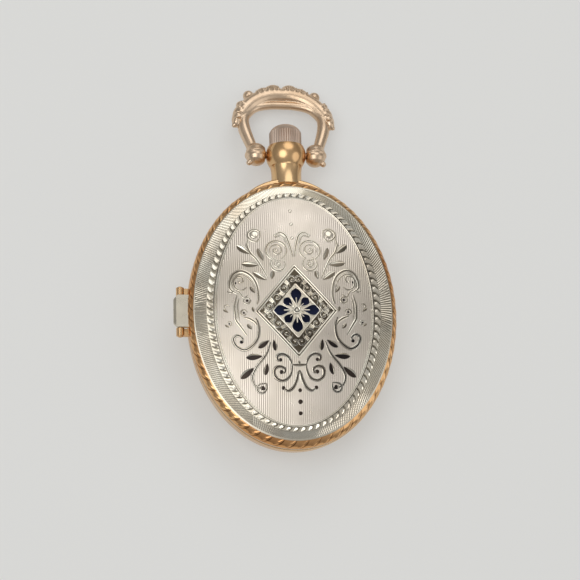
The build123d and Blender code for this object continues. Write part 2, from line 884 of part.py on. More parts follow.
def main_plate():
    plate = rod(movement_radius, plate_bottom, plate_top)
    plate += rod(movement_radius + plate_flange, plate_top - flange_depth, plate_top)
    plate -= rod(minute_wheel_radius + wheel_room, motion_floor, plate_top + overrun,
                 minute_wheel_x, minute_wheel_y)
    plate -= rod(hour_wheel_radius + wheel_room, motion_floor, plate_top + overrun)
    slot_low = clutch_inner - clutch_travel - shake
    plate -= slab(-stem_slot, stem_slot, slot_low, winding_pinion_outer + wheel_room,
                  plate_bottom - overrun, plate_top + overrun)
    plate -= slab(-stem_slot, stem_slot, setting_wheel_y - setting_wheel_radius - wheel_room,
                  clutch_inner, motion_floor, plate_top + overrun)
    along = Pos(0, 0, stem_z) * Rot(-90, 0, 0)
    boss = slab(-stem_boss_left, stem_boss_right, stem_inner, stem_boss_end,
                stem_z - stem_tip_radius - stem_boss_wall, plate_bottom)
    plate += boss - along * rod(stem_tip_radius + run, stem_inner - overrun, clutch_inner + overrun)
    plate -= slab(-lever_pin - shake, lever_pin + shake, lever_y - lever_pin - shake,
                  lever_y + crown_pull + lever_pin + shake, plate_bottom - overrun, plate_top + overrun)
    plate -= slab(lever_x - lever_width, lever_width, lever_y - lever_width / 2 - shake,
                  lever_y + crown_pull + lever_width / 2, lever_bottom - shake, plate_top + overrun)
    plate -= slab(stem_slot / 2, yoke_x + 2 * yoke_width, clutch_inner + wheel_room, yoke_y + 2 * yoke_width,
                  lever_bottom - shake, plate_top + overrun)
    for x, y in train_places():
        plate -= rod(jewel_radius + fit, plate_bottom - overrun, plate_bottom + jewel_height, x, y)
        plate -= rod(pivot_radius + run, plate_bottom, plate_top + overrun, x, y)
    plate -= rod(arbor_thin + run, plate_bottom - overrun, plate_top + overrun)
    plate -= rod(arbor_pivot + run, plate_bottom - overrun, plate_bottom + plate_seat, barrel_x, barrel_y)
    for x, y in bridge_screw_places():
        plate -= rod(screw_shank + fit, plate_bottom - overrun, plate_bottom + screw_bite + fit, x, y)
    for x, y in clamp_places():
        plate -= rod(screw_shank + fit, plate_bottom - overrun, plate_bottom + screw_bite + fit, x, y)
    for angle in (dial_foot_angle, dial_foot_angle + 180):
        x, y = polar(dial_foot_out, angle)
        plate -= rod(dial_foot + fit, dial_bottom - dial_foot_length - fit, plate_top + overrun, x, y)
        plate -= dial_screw(angle, dial_screw_head / 2 + fit, overrun)
    return plate


def train_places():
    return [(third_x, third_y), (fourth_x, fourth_y), (escape_x, escape_y), (pallet_x, pallet_y),
            (balance_x, balance_y)]


# Room for the wheels that turn beside a bridge's foot
def train_room(low, high):
    room = rod(barrel_tooth_radius + wheel_room, low, high, barrel_x, barrel_y)
    room += rod(third_radius + wheel_room, low, high, third_x, third_y)
    room += rod(fourth_radius + wheel_room, low, high, fourth_x, fourth_y)
    room += rod(escape_radius + wheel_room, low, high, escape_x, escape_y)
    room += rod(balance_radius + balance_screw_length + wheel_room, low, high, balance_x, balance_y)
    return room


def foot(x_low, x_high, y_low, y_high):
    block = slab(x_low, x_high, y_low, y_high, bridge_top, plate_bottom)
    return block & rod(bridge_edge, bridge_top, plate_bottom)


def bridge_holes(shape, places):
    for x, y in places:
        shape -= rod(screw_head + fit, bridge_bottom - overrun, bridge_bottom + screw_head_height, x, y)
        shape -= rod(screw_shank + fit, bridge_bottom, plate_bottom + overrun, x, y)
    return shape


def barrel_bridge():
    edge = bridge_edge
    flat = slab(-edge, edge, barrel_bridge_y, edge, bridge_bottom, bridge_top)
    flat += slab(barrel_bridge_x, edge, barrel_bridge_low, barrel_bridge_y, bridge_bottom, bridge_top)
    body = flat & rod(edge, bridge_bottom, bridge_top)
    body += foot(-edge, edge, foot_y, edge) + foot(-edge, foot_side_x, foot_side_y, edge)
    body += foot(barrel_foot_x, edge, barrel_bridge_low, barrel_foot_y)
    body -= train_room(bridge_top, plate_bottom)
    recess_top = winding_bottom + winding_thickness + shake
    body -= rod(crown_wheel_radius + wheel_room, bridge_bottom - overrun, recess_top, 0, crown_wheel_y)
    body -= rod(ratchet_radius + wheel_room, bridge_bottom - overrun, recess_top, barrel_x, barrel_y)
    slot_end = winding_pinion_outer + wheel_room
    body -= slab(-stem_slot, stem_slot, winding_pinion_inner - wheel_room, slot_end, bridge_bottom,
                 plate_bottom)
    body -= slab(-stem_slot, stem_slot, clutch_inner, slot_end, stem_z - clutch_radius - wheel_room,
                 plate_bottom)
    along = Pos(0, 0, stem_z) * Rot(-90, 0, 0)
    body -= along * rod(stem_radius + run, stem_inner, movement_radius + overrun)
    body -= rod(arbor_radius + run, bridge_bottom - overrun, plate_bottom, barrel_x, barrel_y)
    body -= rod(screw_shank + fit, bridge_bottom - overrun, bridge_top + overrun, 0, crown_wheel_y)
    body -= click_room()
    return bridge_holes(body, bridge_screw_places()[:4])


def click_room():
    top = winding_bottom + winding_thickness + shake
    room = rod(click_room_radius, bridge_bottom - overrun, top, click_x, click_y)
    room += Pos(click_x, click_y, (bridge_bottom - overrun + top) / 2) * Rot(0, 0, click_aim) * Box(
        2 * click_spring_reach, 2 * click_width + wheel_room, top - bridge_bottom + overrun)
    return room & rod(bridge_edge - case_wall, bridge_bottom - overrun, top)


def train_bridge():
    edge = bridge_edge
    right = barrel_bridge_x - bridge_split
    flat = slab(-edge, right, train_cut_y, barrel_bridge_y - bridge_split, bridge_bottom, bridge_top)
    flat += slab(-edge, train_cut_x, -edge, train_cut_y, bridge_bottom, bridge_top)
    body = flat & rod(edge, bridge_bottom, bridge_top)
    body += foot(-edge, train_foot_x, -edge, train_foot_high)
    body += foot(-edge, train_foot_right, -edge, train_foot_low)
    body -= train_room(bridge_top, plate_bottom)
    for x, y in train_places()[:3]:
        body -= rod(jewel_radius + fit, bridge_top - jewel_height, bridge_top + overrun, x, y)
        body -= rod(pivot_radius + run, bridge_bottom - overrun, bridge_top, x, y)
    body -= rod(jewel_radius + fit, bridge_top - jewel_height, bridge_top + overrun)
    body -= rod(pivot_radius + run, bridge_bottom - overrun, bridge_top)
    return bridge_holes(body, bridge_screw_places()[4:6])


def balance_cock():
    edge = bridge_edge
    arm_angle = degrees(atan2(cock_foot_mid_y - balance_y, cock_foot_mid_x - balance_x))
    length = hypot(cock_foot_mid_x - balance_x, cock_foot_mid_y - balance_y)
    arm = Pos((balance_x + cock_foot_mid_x) / 2, (balance_y + cock_foot_mid_y) / 2,
              (bridge_bottom + bridge_top) / 2) * Rot(0, 0, arm_angle) * Box(
        length, cock_width, bridge_top - bridge_bottom)
    head = rod(cock_end, bridge_bottom, bridge_top, balance_x, balance_y)
    pad = slab(cock_foot_x, edge, -edge, cock_foot_y, bridge_bottom, bridge_top)
    body = (arm + head + pad) & rod(edge, bridge_bottom, bridge_top)
    block = foot(cock_foot_x, edge, cock_foot_bottom, cock_foot_y) - train_room(bridge_top, plate_bottom)
    body += block
    seat = bridge_top - jewel_height
    body -= rod(cock_jewel_radius + fit, seat, bridge_top + overrun, balance_x, balance_y)
    body -= rod(pivot_radius + run, bridge_bottom - overrun, bridge_top, balance_x, balance_y)
    stud_x, stud_y = stud_place()
    body -= rod(stud_size / 2 + fit, bridge_bottom - overrun, bridge_top + overrun, stud_x, stud_y)
    return bridge_holes(body, bridge_screw_places()[6:7])


def stud_place():
    out = hairspring_inner_radius + hairspring_turns * hairspring_pitch + hairspring_pitch / 2
    return balance_x + out, balance_y


def pallet_cock():
    low = pallet_cock_bottom
    high = pallet_cock_top
    half = pallet_cock_width / 2
    body = slab(pallet_x - half, pallet_x + half, pallet_cock_foot_y, pallet_y, low, high)
    body += rod(half, low, high, pallet_x, pallet_y)
    body += rod(half + shake, low, plate_bottom, pallet_x, pallet_cock_foot_y)
    body -= rod(pivot_radius + run, low - overrun, high + overrun, pallet_x, pallet_y)
    return body - rod(screw_shank + fit, low - overrun, plate_bottom + overrun, pallet_x, pallet_cock_foot_y)


def bridge_screws():
    places = bridge_screw_places()
    top = plate_bottom + screw_bite
    group = [screw(x, y, bridge_bottom + screw_head_height, top) for x, y in places[:7]]
    x, y = places[7]
    group.append(screw(x, y, pallet_cock_bottom, top))
    return Compound(children=group)


def jewels():
    bore = pivot_radius + run
    seat = bridge_top - jewel_height
    group = []
    for x, y in train_places():
        group.append(tube(jewel_radius, bore, plate_bottom, plate_bottom + jewel_height, x, y))
    for x, y in train_places()[:3] + [(0.0, 0.0)]:
        group.append(tube(jewel_radius, bore, seat, bridge_top, x, y))
    group.append(tube(cock_jewel_radius, bore, seat, bridge_top, balance_x, balance_y))
    return Compound(children=group)


def mainspring_barrel():
    low = barrel_bottom
    tooth_low = barrel_top - barrel_tooth_height - barrel_wall
    body = rod(barrel_radius, low, barrel_top - barrel_floor, barrel_x, barrel_y)
    phase = degrees(atan2(-barrel_y, -barrel_x))
    body += toothed(barrel_teeth, barrel_tooth_radius, barrel_tooth_depth, tooth_low,
                    tooth_low + barrel_tooth_height, phase, barrel_x, barrel_y)
    body -= rod(barrel_radius - barrel_wall, low + barrel_floor, barrel_top, barrel_x, barrel_y)
    return body - rod(arbor_radius + run, low - overrun, barrel_top, barrel_x, barrel_y)


def barrel_cover():
    low = barrel_top - barrel_floor - barrel_wall
    body = rod(barrel_radius - barrel_wall - fit, low, barrel_top - barrel_floor, barrel_x, barrel_y)
    return body - rod(arbor_pivot + run, low - overrun, barrel_top, barrel_x, barrel_y)


def barrel_arbor():
    core_low = barrel_bottom + barrel_floor + shake
    core_high = barrel_top - barrel_floor - barrel_wall - shake
    body = rod(arbor_radius, winding_bottom + winding_thickness, core_low, barrel_x, barrel_y)
    body += rod(arbor_core, core_low, core_high, barrel_x, barrel_y)
    body += rod(arbor_pivot, core_high, plate_bottom + plate_seat - shake, barrel_x, barrel_y)
    corner = arbor_radius / sqrt(2)
    square = Pos(barrel_x, barrel_y, winding_bottom + winding_thickness / 2) * Box(
        2 * corner, 2 * corner, winding_thickness)
    body += square
    return body - rod(screw_shank + fit, winding_bottom - overrun, barrel_bottom, barrel_x, barrel_y)


def mainspring():
    low = barrel_bottom + barrel_floor + shake
    high = min(low + spring_height, barrel_top - barrel_floor - barrel_wall - fit)
    return spiral(spring_first, spring_pitch, spring_strip, spring_turns, low, high, barrel_x, barrel_y)


def centre_wheel():
    low = centre_bottom
    high = low + centre_thickness
    toward_third = degrees(atan2(third_y, third_x))
    disc = toothed(centre_teeth, centre_radius, centre_depth, low, high, toward_third)
    disc -= spoke_gaps(centre_radius, centre_depth, low, high, 0, 0)
    toward_barrel = degrees(atan2(barrel_y, barrel_x)) + 180 / centre_pinion_leaves
    pinion = toothed(centre_pinion_leaves, centre_pinion_radius, pinion_depth, centre_pinion_bottom,
                     centre_pinion_top, toward_barrel, 0, 0, tooth_share)
    arbor = rod(arbor_thin, low, centre_post_top)
    pivot = rod(pivot_radius, bridge_top - jewel_height, low)
    return disc + pinion + arbor + pivot


def mesh_phase(from_x, from_y, to_x, to_y):
    return degrees(atan2(to_y - from_y, to_x - from_x))


def third_wheel():
    back = mesh_phase(third_x, third_y, 0, 0) + 180 / train_pinion_leaves
    return wheel(third_teeth, third_radius, third_bottom, train_pinion_leaves, third_pinion_radius,
                 bridge_top + shake, third_pinion_top, third_x, third_y,
                 mesh_phase(third_x, third_y, fourth_x, fourth_y), back)


def fourth_wheel():
    back = mesh_phase(fourth_x, fourth_y, third_x, third_y) + 180 / train_pinion_leaves
    return wheel(fourth_teeth, fourth_radius, fourth_bottom, train_pinion_leaves, fourth_pinion_radius,
                 fourth_pinion_bottom, fourth_pinion_top, fourth_x, fourth_y,
                 mesh_phase(fourth_x, fourth_y, escape_x, escape_y), back)


def escape_wheel():
    points = []
    step = 360 / escape_teeth
    for tooth in range(escape_teeth):
        angle = tooth * step
        points.append(polar(escape_root, angle + step * tooth_share / 4, escape_x, escape_y))
        points.append(polar(escape_radius, angle + escape_lean, escape_x, escape_y))
        points.append(polar(escape_root, angle + step / 2, escape_x, escape_y))
    high = escape_bottom + train_thickness
    face = make_face(Polyline(*points, close=True))
    body = Pos(0, 0, escape_bottom) * extrude(face, train_thickness)
    body -= spoke_gaps(escape_root, 0, escape_bottom, high, escape_x, escape_y)
    back = mesh_phase(escape_x, escape_y, fourth_x, fourth_y) + 180 / escape_pinion_leaves
    body += toothed(escape_pinion_leaves, escape_pinion_radius, pinion_depth, escape_pinion_bottom,
                    escape_pinion_top, back, escape_x, escape_y, tooth_share)
    return body + arbor_and_pivots(escape_x, escape_y)


def pallet_fork():
    low = fork_bottom
    high = low + fork_thickness
    aim = mesh_phase(pallet_x, pallet_y, balance_x, balance_y)
    reach = fork_reach
    bar = slab(0, reach, -fork_width / 2, fork_width / 2, low, high)
    bar += slab(reach - fork_horn, reach + fork_horn / 2, -fork_horn, fork_horn, low, high)
    bar -= slab(reach - fork_horn / 2, reach + overrun, -fork_slot / 2, fork_slot / 2, low - overrun,
                high + overrun)
    for side in (1, -1):
        turn = Rot(0, 0, 180 + side * pallet_arm_angle)
        bar += turn * slab(0, pallet_arm, -fork_width / 2, fork_width / 2, low, high)
    bar += rod(pallet_hub, low, high)
    body = Pos(pallet_x, pallet_y, 0) * Rot(0, 0, aim) * bar
    body += rod(arbor_thin, pallet_cock_top + fit, plate_bottom - shake, pallet_x, pallet_y)
    return body + rod(pivot_radius, pallet_cock_bottom + fit, plate_bottom + jewel_height, pallet_x, pallet_y)


def balance_wheel():
    x, y = balance_x, balance_y
    low = balance_bottom
    high = low + balance_rim_height
    body = tube(balance_radius, balance_radius - balance_rim, low, high, x, y)
    arm = slab(x - balance_radius + balance_rim / 2, x + balance_radius - balance_rim / 2,
               y - balance_arm_width / 2, y + balance_arm_width / 2, low, low + balance_arm_height)
    body += arm + rod(hub_radius, low, low + balance_arm_height, x, y)
    for place in range(balance_screws):
        angle = (place + 0.5) * 360 / balance_screws
        head = Pos(x, y, (low + high) / 2) * Rot(0, 0, angle) * Pos(
            balance_radius + balance_screw_length / 2, 0, 0) * Rot(0, 90, 0)
        body += head * Cylinder(balance_screw_radius, balance_screw_length + 2 * fit)
    body += arbor_and_pivots(x, y)
    roller_low = fork_bottom - shake - roller_height
    body += rod(roller_radius, roller_low, fork_bottom - shake, x, y)
    toward = mesh_phase(balance_x, balance_y, pallet_x, pallet_y)
    pin_x, pin_y = polar(roller_pin_offset, toward, x, y)
    return body + rod(roller_pin, roller_low, fork_bottom + fork_thickness, pin_x, pin_y)


def hairspring():
    high = hairspring_bottom + hairspring_height
    body = spiral(hairspring_inner_radius, hairspring_pitch, hairspring_strip, hairspring_turns,
                  hairspring_bottom, high, balance_x, balance_y)
    collet = tube(collet_radius, arbor_thin + fit, hairspring_bottom, high, balance_x, balance_y)
    tab = slab(balance_x + arbor_thin + fit, balance_x + hairspring_inner_radius + hairspring_strip,
               balance_y, balance_y + hairspring_strip, hairspring_bottom, high)
    return body + collet + tab


def hairspring_stud():
    x, y = stud_place()
    return rod(stud_size / 2, bridge_bottom, hairspring_bottom - fit, x, y)


def regulator():
    low = bridge_bottom - train_thickness - fit
    high = bridge_bottom - fit
    lever = slab(0, regulator_reach, -spoke_width / 2, spoke_width / 2, low, high)
    body = rod(regulator_ring, low, high) + lever
    body -= rod(pivot_radius + run, low - overrun, high + overrun)
    return Pos(balance_x, balance_y, 0) * Rot(0, 0, regulator_angle) * body


def ratchet_wheel():
    toward = mesh_phase(barrel_x, barrel_y, 0, crown_wheel_y)
    high = winding_bottom + winding_thickness
    body = toothed(ratchet_teeth, ratchet_radius, winding_depth, winding_bottom, high,
                   toward + 180 / ratchet_teeth, barrel_x, barrel_y)
    corner = arbor_radius / sqrt(2) + fit
    return body - slab(barrel_x - corner, barrel_x + corner, barrel_y - corner, barrel_y + corner,
                       winding_bottom - overrun, high + overrun)


def crown_wheel():
    toward = mesh_phase(0, crown_wheel_y, barrel_x, barrel_y)
    high = winding_bottom + winding_thickness
    body = toothed(crown_wheel_teeth, crown_wheel_radius, winding_depth, winding_bottom, high, toward,
                   0, crown_wheel_y)
    return body - rod(screw_shank + run, winding_bottom - overrun, high + overrun, 0, crown_wheel_y)


def crown_wheel_screw():
    return screw(0, crown_wheel_y, winding_bottom - shake, bridge_top, winding_screw_head)


def ratchet_screw():
    top = barrel_bottom - fit
    return screw(barrel_x, barrel_y, winding_bottom, top, winding_screw_head)


def click():
    high = winding_bottom + winding_thickness
    aim = mesh_phase(click_x, click_y, barrel_x, barrel_y)
    gap = hypot(click_x - barrel_x, click_y - barrel_y) - ratchet_radius - shake
    body = rod(click_hub, winding_bottom, high)
    nose = Polyline((0, -click_width / 2), (gap, 0), (0, click_width / 2), close=True)
    body += Pos(0, 0, winding_bottom) * extrude(make_face(nose), winding_thickness)
    return Pos(click_x, click_y, 0) * Rot(0, 0, aim) * body


def click_spring():
    high = winding_bottom + winding_thickness
    strip = slab(click_hub + fit, click_spring_reach, -click_spring_strip / 2, click_spring_strip / 2,
                 winding_bottom, high)
    return Pos(click_x, click_y, 0) * Rot(0, 0, click_aim) * strip


# The fluted pinions that ride on the stem
def along_stem(shape):
    return Pos(0, 0, stem_z) * Rot(-90, 0, 0) * shape


def winding_pinion():
    body = toothed(winding_pinion_leaves, winding_pinion_radius, winding_depth, winding_pinion_inner,
                   winding_pinion_outer, 90, 0, 0, tooth_share)
    return along_stem(body - rod(stem_radius + run, winding_pinion_inner - overrun,
                                 winding_pinion_outer + overrun))


def clutch_wheel():
    low = clutch_inner
    body = toothed(clutch_teeth, clutch_radius, winding_depth / 2, low, clutch_outer, 0, 0, 0, tooth_share)
    middle = (low + clutch_outer) / 2
    body -= tube(clutch_radius + overrun, clutch_radius - clutch_groove, middle - clutch_groove,
                 middle + clutch_groove)
    return along_stem(body - rod(stem_radius + run, low - overrun, clutch_outer + overrun))


def setting_lever():
    low = lever_bottom
    high = low + lever_height
    body = rod(lever_width / 2, low, high, lever_x, lever_y)
    body += slab(lever_x, 0, lever_y - lever_width / 4, lever_y + lever_width / 4, low, high)
    body += rod(lever_width / 4, low, high, 0, lever_y)
    return body + rod(lever_pin, stem_z + stem_radius - stem_groove_depth + run, low, 0, lever_y)


def yoke():
    low = lever_bottom
    high = low + lever_height
    body = rod(yoke_width / 2, low, high, yoke_x, yoke_y)
    middle = (clutch_inner + clutch_outer) / 2
    body += slab(yoke_x - yoke_width / 4, yoke_x + yoke_width / 4, middle - yoke_width / 4, yoke_y, low, high)
    body += slab(0, yoke_x, middle - yoke_width / 4, middle + yoke_width / 4, low, high)
    body += rod(yoke_width / 4, low, high, 0, middle)
    return body + rod(lever_pin, stem_z + clutch_radius - clutch_groove + run, low, 0, middle)


def setting_wheel():
    high = minute_wheel_bottom + minute_wheel_thickness
    body = toothed(setting_wheel_teeth, setting_wheel_radius, motion_depth, minute_wheel_bottom, high, 0,
                   0, setting_wheel_y)
    return body - rod(pivot_radius, minute_wheel_bottom - overrun, high + overrun, 0, setting_wheel_y)


def cannon_pinion():
    body = rod(cannon_radius, cannon_bottom, cannon_top)
    toward = mesh_phase(0, 0, minute_wheel_x, minute_wheel_y) + 180 / cannon_leaves
    body += toothed(cannon_leaves, cannon_tooth_radius, motion_depth, cannon_bottom,
                    cannon_bottom + minute_wheel_thickness, toward, 0, 0, tooth_share)
    return body - rod(cannon_bore, cannon_bottom - overrun, centre_post_top + run)


def minute_wheel():
    x, y = minute_wheel_x, minute_wheel_y
    low = minute_wheel_bottom
    high = low + minute_wheel_thickness
    body = toothed(minute_wheel_teeth, minute_wheel_radius, motion_depth, low, high,
                   mesh_phase(x, y, 0, 0), x, y)
    body += toothed(minute_pinion_leaves, minute_pinion_radius, motion_depth, high,
                    hour_wheel_bottom + hour_wheel_thickness, mesh_phase(x, y, 0, 0), x, y, tooth_share)
    return body - rod(arbor_thin, low - overrun, plate_top + overrun, x, y)


def hour_wheel():
    low = hour_wheel_bottom
    high = low + hour_wheel_thickness
    toward = mesh_phase(0, 0, minute_wheel_x, minute_wheel_y) + 180 / hour_wheel_teeth
    body = toothed(hour_wheel_teeth, hour_wheel_radius, motion_depth, low, high, toward)
    body += rod(hour_pipe, low, hour_pipe_top)
    return body - rod(cannon_radius + run, low - overrun, hour_pipe_top + overrun)


# A side screw that presses on a dial foot
def dial_screw(angle, radius, extra=0.0):
    low = dial_foot_out + dial_foot + fit
    high = movement_radius + extra
    place = Rot(0, 0, angle) * Pos((low + high) / 2, 0, (plate_bottom + plate_top) / 2) * Rot(0, 90, 0)
    return place * Cylinder(radius, high - low)


def dial_screws():
    angles = (dial_foot_angle, dial_foot_angle + 180)
    return Compound(children=[dial_screw(angle, dial_screw_head / 2) for angle in angles])


def case_clamps():
    group = []
    for angle in clamp_angles:
        clamp = slab(clamp_inner, clamp_outer, -clamp_width / 2, clamp_width / 2, plate_bottom - clamp_height,
                     plate_bottom)
        clamp -= rod(screw_shank + fit, plate_bottom - overrun, plate_bottom + overrun, clamp_out, 0)
        group.append(Rot(0, 0, angle) * clamp)
    return Compound(children=group)


def case_screws():
    group = []
    for x, y in clamp_places():
        group.append(screw(x, y, plate_bottom - clamp_height, plate_bottom + screw_bite))
    return Compound(children=group)


builders = [
    front_cover, hinge_pin, case_band, case_back, bezel, crystal, pendant, crown, stem, bow, dial, hour_hand,
    minute_hand, movement_ring, main_plate, barrel_bridge, train_bridge, balance_cock, pallet_cock,
    bridge_screws, jewels, mainspring_barrel, barrel_cover, barrel_arbor, mainspring, centre_wheel,
    third_wheel, fourth_wheel, escape_wheel, pallet_fork, balance_wheel, hairspring, hairspring_stud,
    regulator, ratchet_wheel, crown_wheel, crown_wheel_screw, ratchet_screw, click, click_spring,
    winding_pinion, clutch_wheel, setting_lever, yoke, setting_wheel, cannon_pinion, minute_wheel,
    hour_wheel, dial_screws, case_clamps, case_screws,
]

os.makedirs("parts", exist_ok=True)
for builder in builders:
    name = builder.__name__
    export_step(builder(), "parts/" + name + ".step")
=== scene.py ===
import json
import math

import bmesh
import bpy
from mathutils import Matrix, Vector


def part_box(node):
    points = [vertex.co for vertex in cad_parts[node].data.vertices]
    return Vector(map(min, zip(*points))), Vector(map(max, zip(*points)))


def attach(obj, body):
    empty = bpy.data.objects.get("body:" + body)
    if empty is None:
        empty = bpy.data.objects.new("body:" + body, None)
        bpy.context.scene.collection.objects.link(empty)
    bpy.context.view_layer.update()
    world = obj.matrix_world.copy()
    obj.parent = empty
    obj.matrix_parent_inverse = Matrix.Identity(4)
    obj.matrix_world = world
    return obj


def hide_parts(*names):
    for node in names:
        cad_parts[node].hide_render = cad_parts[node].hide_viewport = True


# Oval hunter pendant watch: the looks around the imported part. Ornament sizes are in millimetres.
mm = 0.001
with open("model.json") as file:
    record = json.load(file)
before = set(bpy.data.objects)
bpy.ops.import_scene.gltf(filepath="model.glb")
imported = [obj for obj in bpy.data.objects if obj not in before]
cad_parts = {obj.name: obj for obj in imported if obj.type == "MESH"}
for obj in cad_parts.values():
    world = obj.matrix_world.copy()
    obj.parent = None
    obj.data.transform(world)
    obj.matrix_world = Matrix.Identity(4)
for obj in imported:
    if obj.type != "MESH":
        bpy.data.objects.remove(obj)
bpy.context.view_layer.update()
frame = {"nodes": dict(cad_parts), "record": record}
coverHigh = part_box("front_cover")[1]
print("stage: frame loaded")


def linear(colour):
    return tuple((c / 12.92 if c <= 0.04045 else ((c + 0.055) / 1.055) ** 2.4) for c in colour) + (1.0,)


finishes = {
    "gold_engraved": {"light": (0.84, 0.81, 0.74), "dark": (0.80, 0.76, 0.69), "metal": 1.0,
                      "rough": (0.26, 0.33), "grain": 900, "relief": 0.01},
    "gold_field": {"light": (0.86, 0.82, 0.77), "dark": (0.79, 0.75, 0.69), "metal": 1.0,
                   "rough": (0.27, 0.34), "grain": 700, "relief": 0.01},
    # Painted highlight: a lighter gold for the cut lips, blades, ridges and beads, which are also smoother
    "gold_cut_highlight": {"light": (0.94, 0.92, 0.86), "dark": (0.86, 0.81, 0.73), "metal": 1.0,
                 "rough": (0.12, 0.22), "grain": 1200, "relief": 0.02},
    "gold_polished": {"light": (0.92, 0.78, 0.59), "dark": (0.84, 0.66, 0.46), "metal": 1.0,
                      "rough": (0.20, 0.28), "grain": 500, "relief": 0.02},
    "gold_cast": {"light": (0.90, 0.80, 0.69), "dark": (0.81, 0.69, 0.56), "metal": 1.0,
                  "rough": (0.26, 0.38), "grain": 650, "relief": 0.10},
    "gold_crown": {"light": (0.86, 0.79, 0.73), "dark": (0.74, 0.65, 0.58), "metal": 1.0,
                   "rough": (0.36, 0.48), "grain": 900, "relief": 0.06},
    "gold_rim": {"light": (0.91, 0.73, 0.52), "dark": (0.82, 0.58, 0.36), "metal": 1.0,
                 "rough": (0.14, 0.24), "grain": 600, "relief": 0.03},
    # Painted shade: dark gold for the low cuts, leaf hollows, grooves and punched dots
    "painted_shade": {"light": (0.27, 0.23, 0.20), "dark": (0.11, 0.10, 0.11), "metal": 0.85,
               "rough": (0.30, 0.45), "grain": 900, "relief": 0.06},
    # Painted shade, lighter: cut bottoms and leaf hollows higher on the cover
    "painted_shade_light": {"light": (0.50, 0.46, 0.40), "dark": (0.32, 0.30, 0.26), "metal": 1.0,
                     "rough": (0.28, 0.42), "grain": 1100, "relief": 0.06},
    "hatch_shade": {"light": (0.60, 0.57, 0.50), "dark": (0.48, 0.45, 0.39), "metal": 1.0,
                    "rough": (0.26, 0.38), "grain": 1100, "relief": 0.02},
    # Painted shade on the diamond's floor between its curls
    "band_floor_shade": {"light": (0.40, 0.36, 0.30), "dark": (0.22, 0.20, 0.17), "metal": 1.0,
                   "rough": (0.28, 0.40), "grain": 1100, "relief": 0.06},
    # Painted shade along the rim's wheat leaves
    "painted_shade_rim": {"light": (0.60, 0.41, 0.25), "dark": (0.42, 0.27, 0.16), "metal": 1.0,
                   "rough": (0.26, 0.38), "grain": 900, "relief": 0.05},
    # Painted shade, dark blue, in the flower's petal recesses
    "blue_recess_shade": {"light": (0.17, 0.20, 0.31), "dark": (0.06, 0.07, 0.14), "metal": 0.9,
                    "rough": (0.16, 0.26), "grain": 900, "relief": 0.03},
    "dial_white": {"light": (0.93, 0.92, 0.88), "dark": (0.88, 0.86, 0.80), "metal": 0.0,
                   "rough": (0.34, 0.42), "grain": 400, "relief": 0.02},
    "dial_print": {"light": (0.08, 0.08, 0.09), "dark": (0.04, 0.04, 0.05), "metal": 0.0,
                   "rough": (0.34, 0.46), "grain": 500, "relief": 0.02},
    "hands_dark": {"light": (0.12, 0.15, 0.30), "dark": (0.05, 0.07, 0.18), "metal": 0.9,
                   "rough": (0.16, 0.24), "grain": 500, "relief": 0.01},
    "movement_nickel": {"light": (0.80, 0.79, 0.76), "dark": (0.66, 0.65, 0.62), "metal": 1.0,
                        "rough": (0.20, 0.36), "grain": 600, "relief": 0.04, "stripes": 420},
    "wheel_brass": {"light": (0.88, 0.72, 0.40), "dark": (0.78, 0.60, 0.30), "metal": 1.0,
                    "rough": (0.20, 0.32), "grain": 700, "relief": 0.03},
    "steel_bright": {"light": (0.76, 0.76, 0.77), "dark": (0.62, 0.62, 0.64), "metal": 1.0,
                     "rough": (0.18, 0.30), "grain": 800, "relief": 0.02},
    "steel_blued": {"light": (0.20, 0.28, 0.60), "dark": (0.09, 0.13, 0.36), "metal": 1.0,
                    "rough": (0.16, 0.24), "grain": 700, "relief": 0.02},
    "jewel_red": {"light": (0.62, 0.08, 0.18), "dark": (0.42, 0.03, 0.10), "metal": 0.0,
                  "rough": (0.06, 0.12), "grain": 500, "relief": 0.0},
    "ring_brass": {"light": (0.82, 0.70, 0.44), "dark": (0.70, 0.56, 0.32), "metal": 1.0,
                   "rough": (0.26, 0.36), "grain": 600, "relief": 0.03},
}


grading = {"grainDetail": 4, "cloudShare": 6, "cloudDetail": 2, "tones": (0.30, 0.62), "gloss": (0.3, 0.7),
           "bump": 0.0001, "stripeBend": 0.4, "stripeDepth": 0.2}


